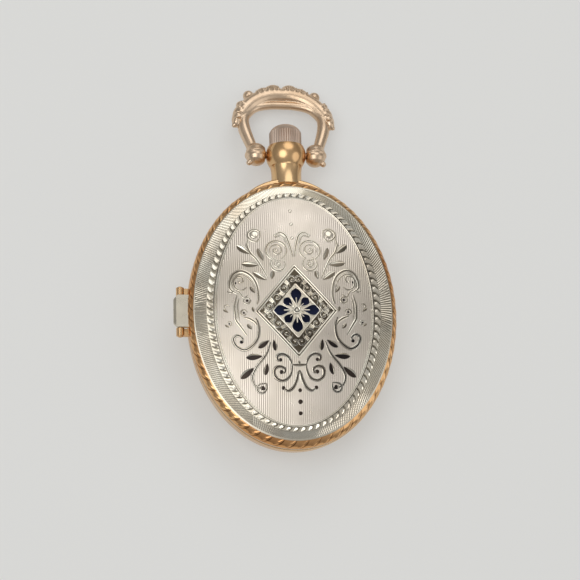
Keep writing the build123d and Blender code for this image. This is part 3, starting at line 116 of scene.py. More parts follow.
def makeFinish(name, look):
    material = bpy.data.materials.new(name)
    material.use_nodes = True
    nodes = material.node_tree.nodes
    links = material.node_tree.links
    shader = nodes["Principled BSDF"]
    shader.inputs["Metallic"].default_value = look["metal"]
    place = nodes.new("ShaderNodeTexCoord")
    grain = nodes.new("ShaderNodeTexNoise")
    grain.inputs["Scale"].default_value = look["grain"]
    grain.inputs["Detail"].default_value = grading["grainDetail"]
    cloud = nodes.new("ShaderNodeTexNoise")
    cloud.inputs["Scale"].default_value = look["grain"] / grading["cloudShare"]
    cloud.inputs["Detail"].default_value = grading["cloudDetail"]
    links.new(place.outputs["Object"], grain.inputs["Vector"])
    links.new(place.outputs["Object"], cloud.inputs["Vector"])
    tone = nodes.new("ShaderNodeValToRGB")
    tone.color_ramp.elements[0].color = linear(look["dark"])
    tone.color_ramp.elements[0].position = grading["tones"][0]
    tone.color_ramp.elements[1].color = linear(look["light"])
    tone.color_ramp.elements[1].position = grading["tones"][1]
    links.new(cloud.outputs["Fac"], tone.inputs["Fac"])
    links.new(tone.outputs["Color"], shader.inputs["Base Color"])
    gloss = nodes.new("ShaderNodeMapRange")
    gloss.inputs["From Min"].default_value = grading["gloss"][0]
    gloss.inputs["From Max"].default_value = grading["gloss"][1]
    gloss.inputs["To Min"].default_value = look["rough"][0]
    gloss.inputs["To Max"].default_value = look["rough"][1]
    links.new(grain.outputs["Fac"], gloss.inputs["Value"])
    links.new(gloss.outputs["Result"], shader.inputs["Roughness"])
    relief = nodes.new("ShaderNodeBump")
    relief.inputs["Strength"].default_value = look["relief"]
    relief.inputs["Distance"].default_value = grading["bump"]
    links.new(grain.outputs["Fac"], relief.inputs["Height"])
    if "stripes" in look:  # polished stripes across the bridges
        wave = nodes.new("ShaderNodeTexWave")
        wave.inputs["Scale"].default_value = look["stripes"]
        wave.inputs["Distortion"].default_value = grading["stripeBend"]
        links.new(place.outputs["Object"], wave.inputs["Vector"])
        stripes = nodes.new("ShaderNodeBump")
        stripes.inputs["Strength"].default_value = grading["stripeDepth"]
        stripes.inputs["Distance"].default_value = grading["bump"]
        links.new(wave.outputs["Fac"], stripes.inputs["Height"])
        links.new(relief.outputs["Normal"], stripes.inputs["Normal"])
        relief = stripes
    links.new(relief.outputs["Normal"], shader.inputs["Normal"])
    return material


crystal = {"colour": (0.97, 0.98, 0.98, 1.0), "index": 1.45, "haze": 300, "rough": (0.01, 0.04)}


def makeCrystal():
    material = bpy.data.materials.new("crystal_clear")
    material.use_nodes = True
    nodes = material.node_tree.nodes
    links = material.node_tree.links
    shader = nodes["Principled BSDF"]
    shader.inputs["Transmission Weight"].default_value = 1.0
    shader.inputs["IOR"].default_value = crystal["index"]
    shader.inputs["Base Color"].default_value = crystal["colour"]
    place = nodes.new("ShaderNodeTexCoord")
    haze = nodes.new("ShaderNodeTexNoise")
    haze.inputs["Scale"].default_value = crystal["haze"]
    links.new(place.outputs["Object"], haze.inputs["Vector"])
    gloss = nodes.new("ShaderNodeMapRange")
    gloss.inputs["To Min"].default_value = crystal["rough"][0]
    gloss.inputs["To Max"].default_value = crystal["rough"][1]
    links.new(haze.outputs["Fac"], gloss.inputs["Value"])
    links.new(gloss.outputs["Result"], shader.inputs["Roughness"])
    return material


materials = {name: makeFinish(name, look) for name, look in finishes.items()}
materials["crystal_clear"] = makeCrystal()
slots = {subpart["node"]: subpart["material_slot"] for subpart in frame["record"]["subparts"]}
for nodeName, slotName in slots.items():
    node = frame["nodes"][nodeName]
    node.data.materials.clear()
    node.data.materials.append(materials[slotName])
print("stage: finishes on the frame")

# The cover's dome, read from its node; the engraving is laid on it
dome = {"rise": 3.5, "corner": 1.2}
half = coverHigh[0] / mm
ratio = coverHigh[1] / coverHigh[0]
base = coverHigh[2] / mm - dome["rise"]
reach = half - dome["corner"]
bigRadius = (reach**2 + dome["rise"] ** 2 - dome["corner"] ** 2) / (2 * (dome["rise"] - dome["corner"]))
leanAngle = math.atan2(bigRadius - dome["rise"], reach)
joinRadius = bigRadius * math.cos(leanAngle)


def onRim(theta, angle, lift):
    q = reach + dome["corner"] * math.cos(angle)
    point = Vector((q * math.cos(theta), q * ratio * math.sin(theta), base + dome["corner"] * math.sin(angle)))
    normal = Vector((math.cos(angle) * math.cos(theta), math.cos(angle) * math.sin(theta) / ratio,
                     math.sin(angle))).normalized()
    return (point + normal * lift) * mm


def onDome(x, y, lift):
    q = max(math.hypot(x, y / ratio), 1e-6)
    if q > joinRadius:
        angle = math.acos(min(1.0, (q - reach) / dome["corner"]))
        return onRim(math.atan2(y / ratio, x), angle, lift)
    depth = math.sqrt(bigRadius**2 - q**2)
    normal = Vector((x / depth, y / (depth * ratio**2), 1.0)).normalized()
    return (Vector((x, y, base + dome["rise"] - bigRadius + depth)) + normal * lift) * mm


# Angles that lie evenly round the oval
def evenAngles(count, start=0.0):
    steps = 1440
    thetas = [2 * math.pi * i / steps for i in range(steps + 1)]
    lengths = [0.0]
    for a, b in zip(thetas, thetas[1:]):
        lengths.append(lengths[-1] + math.hypot(math.cos(b) - math.cos(a), ratio * (math.sin(b) - math.sin(a))))
    angles = []
    j = 0
    for i in range(count):
        target = lengths[-1] * ((i + start) / count)
        while lengths[j + 1] < target:
            j += 1
        part = (target - lengths[j]) / (lengths[j + 1] - lengths[j])
        angles.append(thetas[j] + part * (thetas[j + 1] - thetas[j]))
    return angles


# The level at v from 0 to 1 across a strip
def levelAt(levels, v):
    return levels[int(round(v * (len(levels) - 1)))]


def newMesh(name):
    return {"name": name, "bm": bmesh.new()}


def closeMesh(piece, finish, body, smooth=True):
    bm = piece["bm"]
    mesh = bpy.data.meshes.new(piece["name"])
    for face in bm.faces:
        face.smooth = smooth
    bm.to_mesh(mesh)
    bm.free()
    mesh.materials.append(materials[finish])
    obj = bpy.data.objects.new(piece["name"], mesh)
    bpy.context.collection.objects.link(obj)
    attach(obj, body)
    return obj


# A strip of quads: place(u, v) gives the point for u and v from 0 to 1. On the cover it is turned to face outwards
def strip(piece, along, across, place, onCover=True):
    made = bmesh.ops.create_grid(piece["bm"], x_segments=along, y_segments=across, size=0.5)
    for vert in made["verts"]:
        vert.co = place(vert.co.x + 0.5, vert.co.y + 0.5)
    if not onCover:
        return
    faces = list(dict.fromkeys(face for vert in made["verts"] for face in vert.link_faces))
    facing = 0.0
    for face in faces:
        face.normal_update()
        spot = face.calc_center_median() / mm
        out = onDome(spot.x, spot.y, 1.0) - onDome(spot.x, spot.y, 0.0)
        facing += face.normal.dot(out) * face.calc_area()
    if facing < 0:
        bmesh.ops.reverse_faces(piece["bm"], faces=faces)


# Engraving: every cut is drawn upright here and laid on the dome by drawn()
# Below darkerBelow the cuts and leaf hollows are painted darker as shade
engraving = {"turn": 1.4, "middle": -0.35, "shift": (0.10, -0.5), "lift": 0.06, "bold": 1.75, "darkerBelow": -2.0,
             "cutShare": 0.6, "darkerCutShare": 0.8, "cutLevel": 0.8, "leafSwell": 1.3, "leafGround": 0.014,
             "leafBlade": 0.55, "darkerLeafBlade": 0.3, "bladeEdge": 1.02,
             "beadSegments": (10, 6)}
turnCos = math.cos(math.radians(engraving["turn"]))
turnSin = math.sin(math.radians(engraving["turn"]))


def drawn(x, y, lift):
    middle = engraving["middle"]
    rise = y - middle
    across, up = engraving["shift"]
    return onDome(across + x * turnCos - rise * turnSin, up + middle + x * turnSin + rise * turnCos,
                  engraving["lift"] + lift)


# A smooth path through a few points
def smoothPath(points, count):
    pts = [Vector(p) for p in points]
    pts = [2 * pts[0] - pts[1]] + pts + [2 * pts[-1] - pts[-2]]
    spans = len(pts) - 3
    path = []
    for i in range(count + 1):
        t = i / count * spans
        k = min(int(t), spans - 1)
        t -= k
        a, b, c, d = pts[k:k + 4]
        path.append(0.5 * ((2 * b) + (c - a) * t + (2 * a - 5 * b + 4 * c - d) * t**2
                           + (3 * b - a - 3 * c + d) * t**3))
    return path


def spiralPoints(centre, inner, outer, start, turns, count=14):
    points = []
    for i in range(count + 1):
        share = i / count
        angle = math.radians(start + 360 * turns * share)
        radius = inner + (outer - inner) * share
        points.append((centre[0] + radius * math.cos(angle), centre[1] + radius * math.sin(angle)))
    return points


# Strokes and leaves low on the cover, below darkerBelow, get wider cuts in a darker painted shade and go into these
# two
lowCutShade = newMesh("low_cut_shade")
lowLeafShade = newMesh("low_leaf_shade")
strokeProfile = (0.0, 1.0, 0.15, 1.0, 0.0)  # two lips with the cut between them
ridgeProfile = (0.1, 1.0, 0.1)
leafProfile = (0.0, 0.35, 1.0, 0.35, 0.0)


# A cut line: two lips painted bright as highlight and a bottom painted dark as shade, thin at both ends
def stroke(lips, cut, points, width, side=1, height=0.07, count=None, blunt=0.35):
    count = count or max(12, 6 * len(points))
    path = smoothPath([(side * x, y) for x, y in points], count)

    def across(u, v, spread, profile):
        i = min(int(round(u * count)), count)
        ahead = path[min(i + 1, count)]
        back = path[max(i - 1, 0)]
        run = (ahead - back).normalized()
        taper = blunt + (1 - blunt) * math.sin(math.pi * min(1.0, max(0.0, u))) ** 0.6
        offset = (v - 0.5) * spread * width * engraving["bold"] * taper
        level = levelAt(profile, v) * height * taper
        return drawn(path[i].x - run.y * offset, path[i].y + run.x * offset, level)

    strip(lips, count, 4, lambda u, v: across(u, v, 1.0, strokeProfile))
    # Low on the cover the cut is wider and painted darker as shade
    deep = sum(y for x, y in points) / len(points) < engraving["darkerBelow"]
    spread = engraving["darkerCutShare" if deep else "cutShare"]
    strip(lowCutShade if deep else cut, count, 1, lambda u, v: across(u, v, spread, (engraving["cutLevel"],) * 2))


# A raised line
def ridge(lines, points, width, height, count=16):
    path = smoothPath(points, count)

    def place(u, v):
        i = min(int(round(u * count)), count)
        run = (path[min(i + 1, count)] - path[max(i - 1, 0)]).normalized()
        offset = (v - 0.5) * width
        return drawn(path[i].x - run.y * offset, path[i].y + run.x * offset, height * levelAt(ridgeProfile, v))

    strip(lines, count, 2, place)


# A leaf, from its tip to its foot: an almond cut painted dark as shade, with a blade along one side painted bright
# as highlight
def leaf(leaves, shade, tip, foot, width, side=1, height=0.10):
    a = Vector((side * tip[0], tip[1]))
    b = Vector((side * foot[0], foot[1]))
    run = b - a
    across = Vector((-run.y, run.x)).normalized()
    if across.y < 0:
        across = -across

    def place(u, v, start, grow, level):
        wide = width * engraving["leafSwell"] * math.sin(math.pi * u**0.8) ** 0.85
        spot = a + run * u + across * wide * (start + v * grow - 0.5)
        return drawn(spot.x, spot.y, levelAt(level, v) * math.sin(math.pi * u) ** 0.5)

    # Low on the cover the leaf's painted shade is darker and its bright blade narrower
    deep = tip[1] < engraving["darkerBelow"]
    blade = engraving["darkerLeafBlade" if deep else "leafBlade"]
    ground = (engraving["leafGround"],) * 2
    levels = [share * height for share in leafProfile]
    strip(lowLeafShade if deep else shade, 10, 1, lambda u, v: place(u, v, 0.0, 1.0, ground))
    strip(leaves, 10, 4, lambda u, v: place(u, v, engraving["bladeEdge"] - blade, blade, levels))


def bead(beads, x, y, radius, height, side=1):
    around, rows = engraving["beadSegments"]
    made = bmesh.ops.create_uvsphere(beads["bm"], u_segments=around, v_segments=rows, radius=1.0)
    for vert in made["verts"]:
        spot = vert.co
        vert.co = drawn(side * x + spot.x * radius, y + spot.y * radius, spot.z * height)


# Vertical brushed lines inside the inner oval
field = {"halfWidth": 11.0, "halfLength": 16.7, "lines": 76, "rows": 44, "relief": 0.022, "lift": 0.02}
fieldPiece = newMesh("engraved_field")


def fieldPlace(u, v):
    column = int(round(u * 2 * field["lines"]))
    x = (2 * u - 1) * field["halfWidth"]
    edge = math.sqrt(max(0.0, 1 - (2 * u - 1) ** 2)) * field["halfLength"]
    return onDome(x, (2 * v - 1) * edge, field["lift"] + field["relief"] * (column % 2))


strip(fieldPiece, 2 * field["lines"], field["rows"], fieldPlace)
closeMesh(fieldPiece, "gold_field", "cover", smooth=False)
print("stage: brushed field")

# Rings between the field and the rolled rim: 0 at the field's oval, 1 where the rim turns down
rings = {"inner": (11.05, 16.75), "outer": (14.1, 18.55), "ropes": ((-0.05, 0.02), (0.035, 0.10)),
         "ropeRibs": 250, "ropeFoot": 0.01, "ropeHeight": 0.07, "ropeDip": 0.45, "ropeLean": 0.0012,
         "groove": (0.11, 0.14), "grooveLift": 0.012}
ovalSteps = 720


def ringPoint(theta, share, lift):
    wide = rings["inner"][0] + (rings["outer"][0] - rings["inner"][0]) * share
    long = rings["inner"][1] + (rings["outer"][1] - rings["inner"][1]) * share
    return onDome(wide * math.cos(theta), long * math.sin(theta), lift)


def ringStrip(piece, count, across, inner, outer, level, shear=0.0):
    thetas = evenAngles(ovalSteps)

    def place(u, v):
        where = (u + shear * (v - 0.5)) * ovalSteps
        i = int(math.floor(where))
        t = where - i
        a = thetas[i % ovalSteps]
        b = thetas[(i + 1) % ovalSteps]
        if b < a:
            b += 2 * math.pi
        theta = a + (b - a) * t
        return ringPoint(theta, inner + (outer - inner) * v, level(int(round(u * count)), v))

    strip(piece, count, across, place)


def ropeLevel(i, v):
    return rings["ropeFoot"] + rings["ropeHeight"] * math.sin(math.pi * v) * (1.0 if i % 2 else rings["ropeDip"])


ropes = newMesh("field_ropes")
for inner, outer in rings["ropes"]:
    ringStrip(ropes, 2 * rings["ropeRibs"], 4, inner, outer, ropeLevel, shear=rings["ropeLean"])
closeMesh(ropes, "gold_cut_highlight", "cover")
# The groove between the field and the rings is painted dark as shade
groove = newMesh("field_groove")
ringStrip(groove, 240, 1, *rings["groove"], lambda i, v: rings["grooveLift"])
closeMesh(groove, "painted_shade", "cover")

# Bright cuts: scoops with one face painted bright as highlight and one painted darker as shade
brightCuts = {"count": 84, "reach": (0.15, 0.43), "lean": 0.030, "lift": 0.012,
              "shade": (0.001, 0.022, (0.10, 0.01, 0.02)), "face": (-0.034, 0.035, (0.0, 0.04, 0.10))}
cuts = newMesh("bright_cuts")
cutShade = newMesh("bright_cut_shade")
for theta in evenAngles(brightCuts["count"]):
    low, high = brightCuts["reach"]

    def cutPlace(u, v, start, wide, levels, at=theta):
        spread = wide * math.sin(math.pi * (0.12 + 0.76 * u)) ** 0.7
        level = levelAt(levels, v)
        return ringPoint(at + start + v * spread + brightCuts["lean"] * (0.5 - u), low + (high - low) * u,
                         brightCuts["lift"] + level)

    strip(cutShade, 4, 2, lambda u, v: cutPlace(u, v, *brightCuts["shade"]))
    strip(cuts, 4, 2, lambda u, v: cutPlace(u, v, *brightCuts["face"]))
closeMesh(cuts, "gold_cut_highlight", "cover", smooth=False)
closeMesh(cutShade, "hatch_shade", "cover")

# Hatching out to the rim: it leans one way above the hinge, the other way below, both ways at the foot
hatching = {"count": 300, "reach": (0.45, 0.985), "width": 0.0013, "lean": 0.011, "turnOver": 24,
            "crossed": (0.68, 0.86), "ground": 0.006, "ridge": (-1.1, 1.6, (0.012, 0.06, 0.012)),
            "cut": (0.5, 1.0, (0.010, 0.010)), "steps": 3600}
hatchGround = newMesh("border_ground")
ringStrip(hatchGround, 300, 3, *hatching["reach"], lambda i, v: hatching["ground"])
closeMesh(hatchGround, "gold_engraved", "cover")
hatch = newMesh("border_hatch")
hatchShade = newMesh("border_hatch_shade")
ringAngles = evenAngles(hatching["steps"])


def hatchLine(share, lean):
    def place(u, v, start, grow, levels):
        where = share + lean * (u - 0.5) + (start + grow * v) * hatching["width"]
        theta = ringAngles[int(round(where * hatching["steps"])) % hatching["steps"]]
        low, high = hatching["reach"]
        return ringPoint(theta, low + (high - low) * u, levelAt(levels, v))

    strip(hatch, 3, 2, lambda u, v: place(u, v, *hatching["ridge"]))
    strip(hatchShade, 3, 1, lambda u, v: place(u, v, *hatching["cut"]))


for i in range(hatching["count"]):
    share = i / hatching["count"]
    turnOver = min(1.0, hatching["turnOver"] * min(share, abs(0.5 - share), 1 - share))
    hatchLine(share, hatching["lean"] * turnOver * (1 if share < 0.5 else -1))
    if hatching["crossed"][0] < share < hatching["crossed"][1]:
        hatchLine(share, hatching["lean"])
closeMesh(hatch, "gold_cut_highlight", "cover", smooth=False)
closeMesh(hatchShade, "hatch_shade", "cover")
print("stage: border rings")

# The rolled rim: a polished band with wheat leaves cut round it
rim = {"count": 60, "low": 3.0, "high": 66.0, "lean": 0.105, "width": 0.070, "height": 0.055, "lift": 0.012,
       "leafLift": 0.016, "steps": 240, "shade": (0.16, 0.20, (0.0, 0.0)),
       "leaf": (-0.60, 0.76, (0.0, 0.5, 1.0, 0.4, 0.0))}
rimBand = newMesh("rim_band")
thetas = evenAngles(rim["steps"])


def bandPlace(u, v):
    theta = thetas[int(round(u * rim["steps"])) % rim["steps"]]
    return onRim(theta, math.radians(rim["high"] * v + 1.0), rim["lift"])


strip(rimBand, rim["steps"], 8, bandPlace)
bmesh.ops.remove_doubles(rimBand["bm"], verts=rimBand["bm"].verts, dist=1e-7)
closeMesh(rimBand, "gold_rim", "cover")
rimPiece = newMesh("rim_wheat")
rimShade = newMesh("rim_wheat_shade")
for theta in evenAngles(rim["count"], 0.5):
    def rimPlace(u, v, start, grow, levels, at=theta):
        angle = math.radians(rim["low"] + (rim["high"] - rim["low"]) * u)
        taper = math.sin(math.pi * (0.04 + 0.92 * u))
        level = levelAt(levels, v) * rim["height"] * taper
        return onRim(at + rim["lean"] * (u - 0.5) + (start + v * grow) * rim["width"] * taper**0.6, angle,
                     level + rim["leafLift"])

    # A strip of painted shade beside each wheat leaf
    strip(rimShade, 8, 1, lambda u, v: rimPlace(u, v, *rim["shade"]))
    strip(rimPiece, 8, 4, lambda u, v: rimPlace(u, v, *rim["leaf"]))
closeMesh(rimPiece, "gold_rim", "cover", smooth=False)
closeMesh(rimShade, "painted_shade_rim", "cover")
print("stage: rim")

# Scrolls, sprays and hooks, drawn for the right half and mirrored: points and width of each
lips = newMesh("scroll_lips")
cutLines = newMesh("scroll_cuts")
leaves = newMesh("leaf_blades")
leafShade = newMesh("leaf_shade")
beads = newMesh("engraved_beads")
darkBeads = newMesh("punched_dots")

scrolls = [
    ([(2.6, -7.23), (2.95, -7.25), (3.07, -6.92), (2.9, -6.57), (2.36, -6.38), (1.69, -6.64), (1.21, -7.28),
      (1.02, -7.9)], 0.3),
    ([(2.49, -8.93), (2.15, -9.0), (1.98, -8.7), (2.11, -8.37), (2.66, -8.1), (3.27, -8.29), (3.51, -8.85),
      (3.34, -9.58), (2.62, -10.06), (1.81, -9.91), (1.27, -9.35), (1.02, -8.5), (1.02, -7.9)], 0.3),
    ([(0.0, -8.69), (0.22, -9.28), (0.43, -10.08), (0.94, -11.07), (1.65, -11.49), (2.25, -11.15)], 0.3),
    ([(3.86, -4.66), (4.34, -6.0), (4.86, -6.8), (5.65, -7.73), (6.31, -8.79), (6.54, -9.71), (6.09, -10.78),
      (5.25, -11.06)], 0.26),
    ([(7.86, -4.52), (7.7, -4.05), (8.1, -3.6), (8.65, -3.6), (8.96, -4.12), (8.47, -5.1), (7.44, -5.6),
      (6.42, -5.07), (5.67, -4.15), (5.42, -3.06), (5.5, -1.9), (5.8, -1.1)], 0.3),
    (spiralPoints((2.37, 8.87), 1.42, 1.5, 245, -0.93), 0.24),
    (spiralPoints((2.37, 8.87), 0.3, 1.0, 90, -1.3), 0.2),
    ([(2.4, 11.24), (1.71, 11.64), (0.97, 11.18), (0.61, 10.19), (0.3, 8.92), (0.15, 7.9)], 0.28),
    ([(2.45, 10.85), (1.75, 11.15), (1.25, 10.75), (0.95, 9.9)], 0.16),
    (spiralPoints((2.26, 6.75), 0.98, 1.05, 130, 0.85), 0.22),
    (spiralPoints((2.26, 6.75), 0.2, 0.6, 60, 1.2), 0.18),
    ([(6.2, 10.9), (6.42, 10.1), (6.4, 9.5), (6.0, 8.5), (5.25, 7.57), (4.4, 5.93), (3.8, 4.6)], 0.26),
    ([(7.82, 4.09), (7.3, 4.3), (7.5, 4.95), (8.2, 5.0), (8.6, 4.4), (8.4, 3.4), (7.6, 3.0), (6.8, 3.4)], 0.2),
    ([(8.16, 2.55), (9.06, 3.18), (9.2, 4.0), (9.0, 4.8), (8.5, 5.55), (7.45, 5.9), (6.15, 5.1), (5.4, 3.6),
      (5.28, 1.82), (5.5, 0.8)], 0.32),
    ([(8.75, 3.4), (8.82, 4.2), (8.45, 4.9), (7.8, 5.35), (7.0, 5.1), (6.2, 4.3), (5.75, 3.2)], 0.16),
    ([(8.25, 2.3), (8.6, 0.85), (8.6, -0.3), (8.5, -1.3), (8.04, -2.05), (7.5, -2.9), (7.07, -3.6)], 0.26),
    ([(7.95, 1.9), (8.2, 0.8), (8.2, -0.5), (8.05, -1.4)], 0.16),
    (spiralPoints((6.85, 1.45), 0.4, 0.48, 60, 0.95), 0.18),
    (spiralPoints((7.4, -0.3), 0.36, 0.44, 200, 0.95), 0.16),
    (spiralPoints((9.7, 0.6), 0.30, 0.42, 300, 0.6), 0.16),
    (spiralPoints((9.45, -1.75), 0.28, 0.36, 20, 0.8), 0.15),
    ([(7.4, -0.95), (6.9, -1.1), (6.5, -1.3), (5.95, -1.7), (5.65, -2.2)], 0.26),
    ([(8.5, 3.1), (9.1, 2.7), (9.55, 3.0)], 0.16),
    ([(8.3, 3.0), (7.76, 2.6), (7.3, 1.9), (6.6, 2.3)], 0.16),
    ([(4.55, 11.0), (4.6, 11.9), (5.4, 12.25), (6.15, 11.8), (6.25, 11.1), (5.7, 10.5), (5.0, 10.4), (4.55, 11.0)],
     0.24),
    ([(4.65, -10.35), (4.6, -11.1), (5.1, -11.65), (5.75, -11.5), (5.95, -10.95), (5.6, -10.5), (4.65, -10.35)],
     0.22),
]
leafSpots = [  # tip, foot and width of each leaf
    ((7.95, 9.9), (6.1, 8.45), 0.74), ((7.45, 7.05), (4.95, 6.7), 0.7), ((5.9, 5.7), (3.95, 4.35), 0.66),
    ((5.05, 9.3), (4.3, 7.3), 0.58), ((3.05, 5.75), (3.3, 4.45), 0.5),
    ((5.65, -5.45), (4.05, -4.4), 0.6), ((3.2, -5.95), (3.44, -4.3), 0.5), ((7.35, -6.7), (5.05, -6.6), 0.68),
    ((8.15, -9.6), (6.3, -8.15), 0.74), ((4.8, -9.3), (4.4, -7.6), 0.56),
    ((5.4, 11.85), (5.4, 10.75), 0.62), ((5.3, -11.3), (5.05, -10.7), 0.6),
    ((6.4, 3.5), (5.7, 2.5), 0.4), ((6.2, 0.5), (6.0, -0.3), 0.3), ((10.25, 0.4), (9.5, -0.15), 0.26),
    ((7.0, -1.95), (6.4, -2.75), 0.42), ((10.05, -1.85), (9.5, -2.3), 0.22),
]
# Beads and punched dots: place and radius; the beads are painted bright as highlight, the punched dots dark as
# shade
dots = {"bright": ((2.37, 8.87, 0.22), (2.26, 6.75, 0.2), (7.8, 4.2, 0.22), (2.45, 11.2, 0.2), (5.4, 11.45, 0.62)),
        "dark": ((2.6, -7.2, 0.26), (2.5, -8.9, 0.3), (2.3, -11.1, 0.28), (7.86, -4.45, 0.26),
                 (6.85, 1.45, 0.2), (7.4, -0.3, 0.17), (8.4, 4.15, 0.18), (9.45, -1.75, 0.13)),
        "axisBright": ((15.1, 0.26), (12.95, 0.26), (10.75, 0.26)),
        "axisDark": ((-11.46, 0.28), (-13.03, 0.33), (-14.6, 0.28), (-7.69, 0.2)),
        "height": 0.09, "axisHeight": 0.10, "darkHeight": 0.04}
for side in (1, -1):
    for points, width in scrolls:
        stroke(lips, cutLines, points, width, side)
    for tip, foot, width in leafSpots:
        leaf(leaves, leafShade, tip, foot, width, side)
    for x, y, radius in dots["bright"]:
        bead(beads, x, y, radius, dots["height"], side)
    for x, y, radius in dots["dark"]:
        bead(darkBeads, x, y, radius, dots["darkHeight"], side)
stroke(lips, cutLines, [(-1.05, -7.9), (0.0, -7.95), (1.05, -7.9)], 0.26)
stroke(lips, cutLines, [(0.0, -7.35), (0.0, -8.1)], 0.2)
for y, radius in dots["axisBright"]:
    bead(beads, 0.0, y, radius, dots["axisHeight"])
for y, radius in dots["axisDark"]:
    bead(darkBeads, 0.0, y, radius, dots["darkHeight"])
print("stage: scrolls and sprays")

# The diamond: rope borders, a floor painted dark as shade, curls in the band and an eight-petal flower
diamond = {"outer": (5.8, 6.75), "inner": (3.35, 3.9), "second": (5.38, 6.267), "centre": -0.15, "ribs": 26,
           "rope": (0.20, 0.09), "innerRope": (0.20, 0.10), "ropeDip": 0.15, "floor": -0.005,
           "innerFloor": 0.004, "innerLines": 28, "innerRelief": 0.02}
floor = newMesh("diamond_floor")
centreY = diamond["centre"]


def diamondPlace(u, v, halves, lift):
    a, b = 2 * u - 1, 2 * v - 1
    return drawn(halves[0] * (a + b) / 2, centreY + halves[1] * (a - b) / 2, lift)


strip(floor, 16, 16, lambda u, v: diamondPlace(u, v, diamond["outer"], diamond["floor"]))
closeMesh(floor, "band_floor_shade", "cover")
innerFloor = newMesh("diamond_inner_floor")


def innerPlace(u, v):
    raised = int(round(u * diamond["innerLines"])) % 2
    return diamondPlace(u, v, diamond["inner"], diamond["innerFloor"] + diamond["innerRelief"] * raised)


strip(innerFloor, diamond["innerLines"], 12, innerPlace)
closeMesh(innerFloor, "gold_engraved", "cover", smooth=False)

diamondRopes = newMesh("diamond_ropes")


def diamondRope(halves, width, height):
    corners = [(0, halves[1]), (halves[0], 0), (0, -halves[1]), (-halves[0], 0)]
    for k in range(4):
        a = Vector(corners[k])
        b = Vector(corners[(k + 1) % 4])
        run = b - a
        out = Vector((run.y, -run.x)).normalized() * -1
        ribs = diamond["ribs"]

        def place(u, v):
            i = int(round(u * ribs * 2))
            spot = a + run * u + out * (v - 0.5) * width
            level = height * math.sin(math.pi * v) * (1.0 if i % 2 else diamond["ropeDip"])
            return drawn(spot.x, centreY + spot.y, level)

        strip(diamondRopes, 2 * ribs, 4, place)


diamondRope(diamond["outer"], *diamond["rope"])
diamondRope(diamond["second"], *diamond["rope"])
diamondRope(diamond["inner"], *diamond["innerRope"])
closeMesh(diamondRopes, "gold_cut_highlight", "cover")

# Curls and fan cuts in the band between the ropes; places along an edge are shares of its length
band = {"halves": (4.375, 5.095), "curls": 4, "first": 0.11, "step": 0.255, "start": 30, "sweep": 400,
        "radius": (0.20, 0.46), "length": 6.4, "tail": (0.15, 0.52), "width": 0.17, "height": 0.15,
        "eye": (0.15, 0.14), "fanTip": (0.095, 0.032, -0.62), "fanFoot": (0.120, 0.018, 0.10), "fanWidth": 0.15}
bandScrolls = newMesh("diamond_scrolls")
bandCuts = newMesh("diamond_scroll_cuts")


def bandPoint(edge, along, off):
    sx, sy = ((1, 1), (1, -1), (-1, -1), (-1, 1))[edge]
    midX, midY = band["halves"]
    a = Vector((0, sy * midY))
    b = Vector((sx * midX, 0))
    run = b - a
    out = Vector((sx * midY, sy * midX)).normalized()
    spot = a + run * along + out * off
    return (spot.x, centreY + spot.y)


for edge in range(4):
    for j in range(band["curls"]):
        along = band["first"] + band["step"] * j
        flip = 1 if j % 2 else -1
        points = []
        for k in range(13):
            angle = math.radians(band["start"] + band["sweep"] * k / 12 * flip)
            radius = band["radius"][0] + band["radius"][1] * k / 12
            points.append(bandPoint(edge, along + radius * math.cos(angle) / band["length"],
                                    radius * math.sin(angle)))
        points.append(bandPoint(edge, along + band["tail"][0], band["tail"][1] * flip))
        stroke(bandScrolls, bandCuts, points, band["width"], height=band["height"], count=34)
        bead(beads, *bandPoint(edge, along, 0), *band["eye"])
        for k in range(3):
            tip, foot = (bandPoint(edge, along + start + step * k, off * flip)
                         for start, step, off in (band["fanTip"], band["fanFoot"]))
            ridge(bandScrolls, [tip, foot], band["fanWidth"], band["height"], 4)
closeMesh(bandScrolls, "gold_cut_highlight", "cover")
# The curls' cuts are painted dark as shade
closeMesh(bandCuts, "painted_shade", "cover")

flower = {"long": (3.3, 1.62, 0.22), "short": (2.5, 1.3, 0.12), "foot": 0.5, "swell": 1.7, "recess": 0.92,
          "levels": (0.05, 0.038, 0.032, 0.038, 0.05), "outline": 0.15, "height": 0.12, "vein": 0.55}
recess = newMesh("flower_recess")
petals = newMesh("flower_petals")


def petalWidth(u, width):
    return width * math.sin(math.pi * u ** flower["swell"]) ** 0.8


# A petal: a recess painted dark blue as shade inside a raised outline, with a short vein from the hub
def petal(angle, length, width, vein):
    ahead = Vector((math.cos(angle), math.sin(angle)))
    across = Vector((-ahead.y, ahead.x))

    def spot(u, off):
        place = ahead * (flower["foot"] + (length - flower["foot"]) * u) + across * off
        return place.x, centreY + place.y

    def recessPlace(u, v):
        wide = petalWidth(u, width * flower["recess"])
        return drawn(*spot(u, (v - 0.5) * wide), levelAt(flower["levels"], v))

    strip(recess, 12, 4, recessPlace)
    for sideSign in (-1, 1):
        outline = [spot(k / 8, sideSign * petalWidth(k / 8, width * 0.5)) for k in range(9)]
        ridge(petals, outline, flower["outline"], flower["height"])
    line = [ahead * flower["vein"], ahead * length * flower["vein"]]
    ridge(petals, [(point.x, centreY + point.y) for point in line], vein, flower["height"], 4)


for k in range(4):
    petal(math.radians(90 * k), *flower["long"])
    petal(math.radians(45 + 90 * k), *flower["short"])
closeMesh(recess, "blue_recess_shade", "cover")
closeMesh(petals, "gold_cut_highlight", "cover")

hub = newMesh("flower_hub")
hubLevels = ((0.60, 0.02), (0.54, 0.16), (0.42, 0.17), (0.34, 0.05), (0.26, 0.05), (0.19, 0.18), (0.0, 0.24))
hubRing = {"inner": 0.25, "wide": 0.10, "level": 0.075}


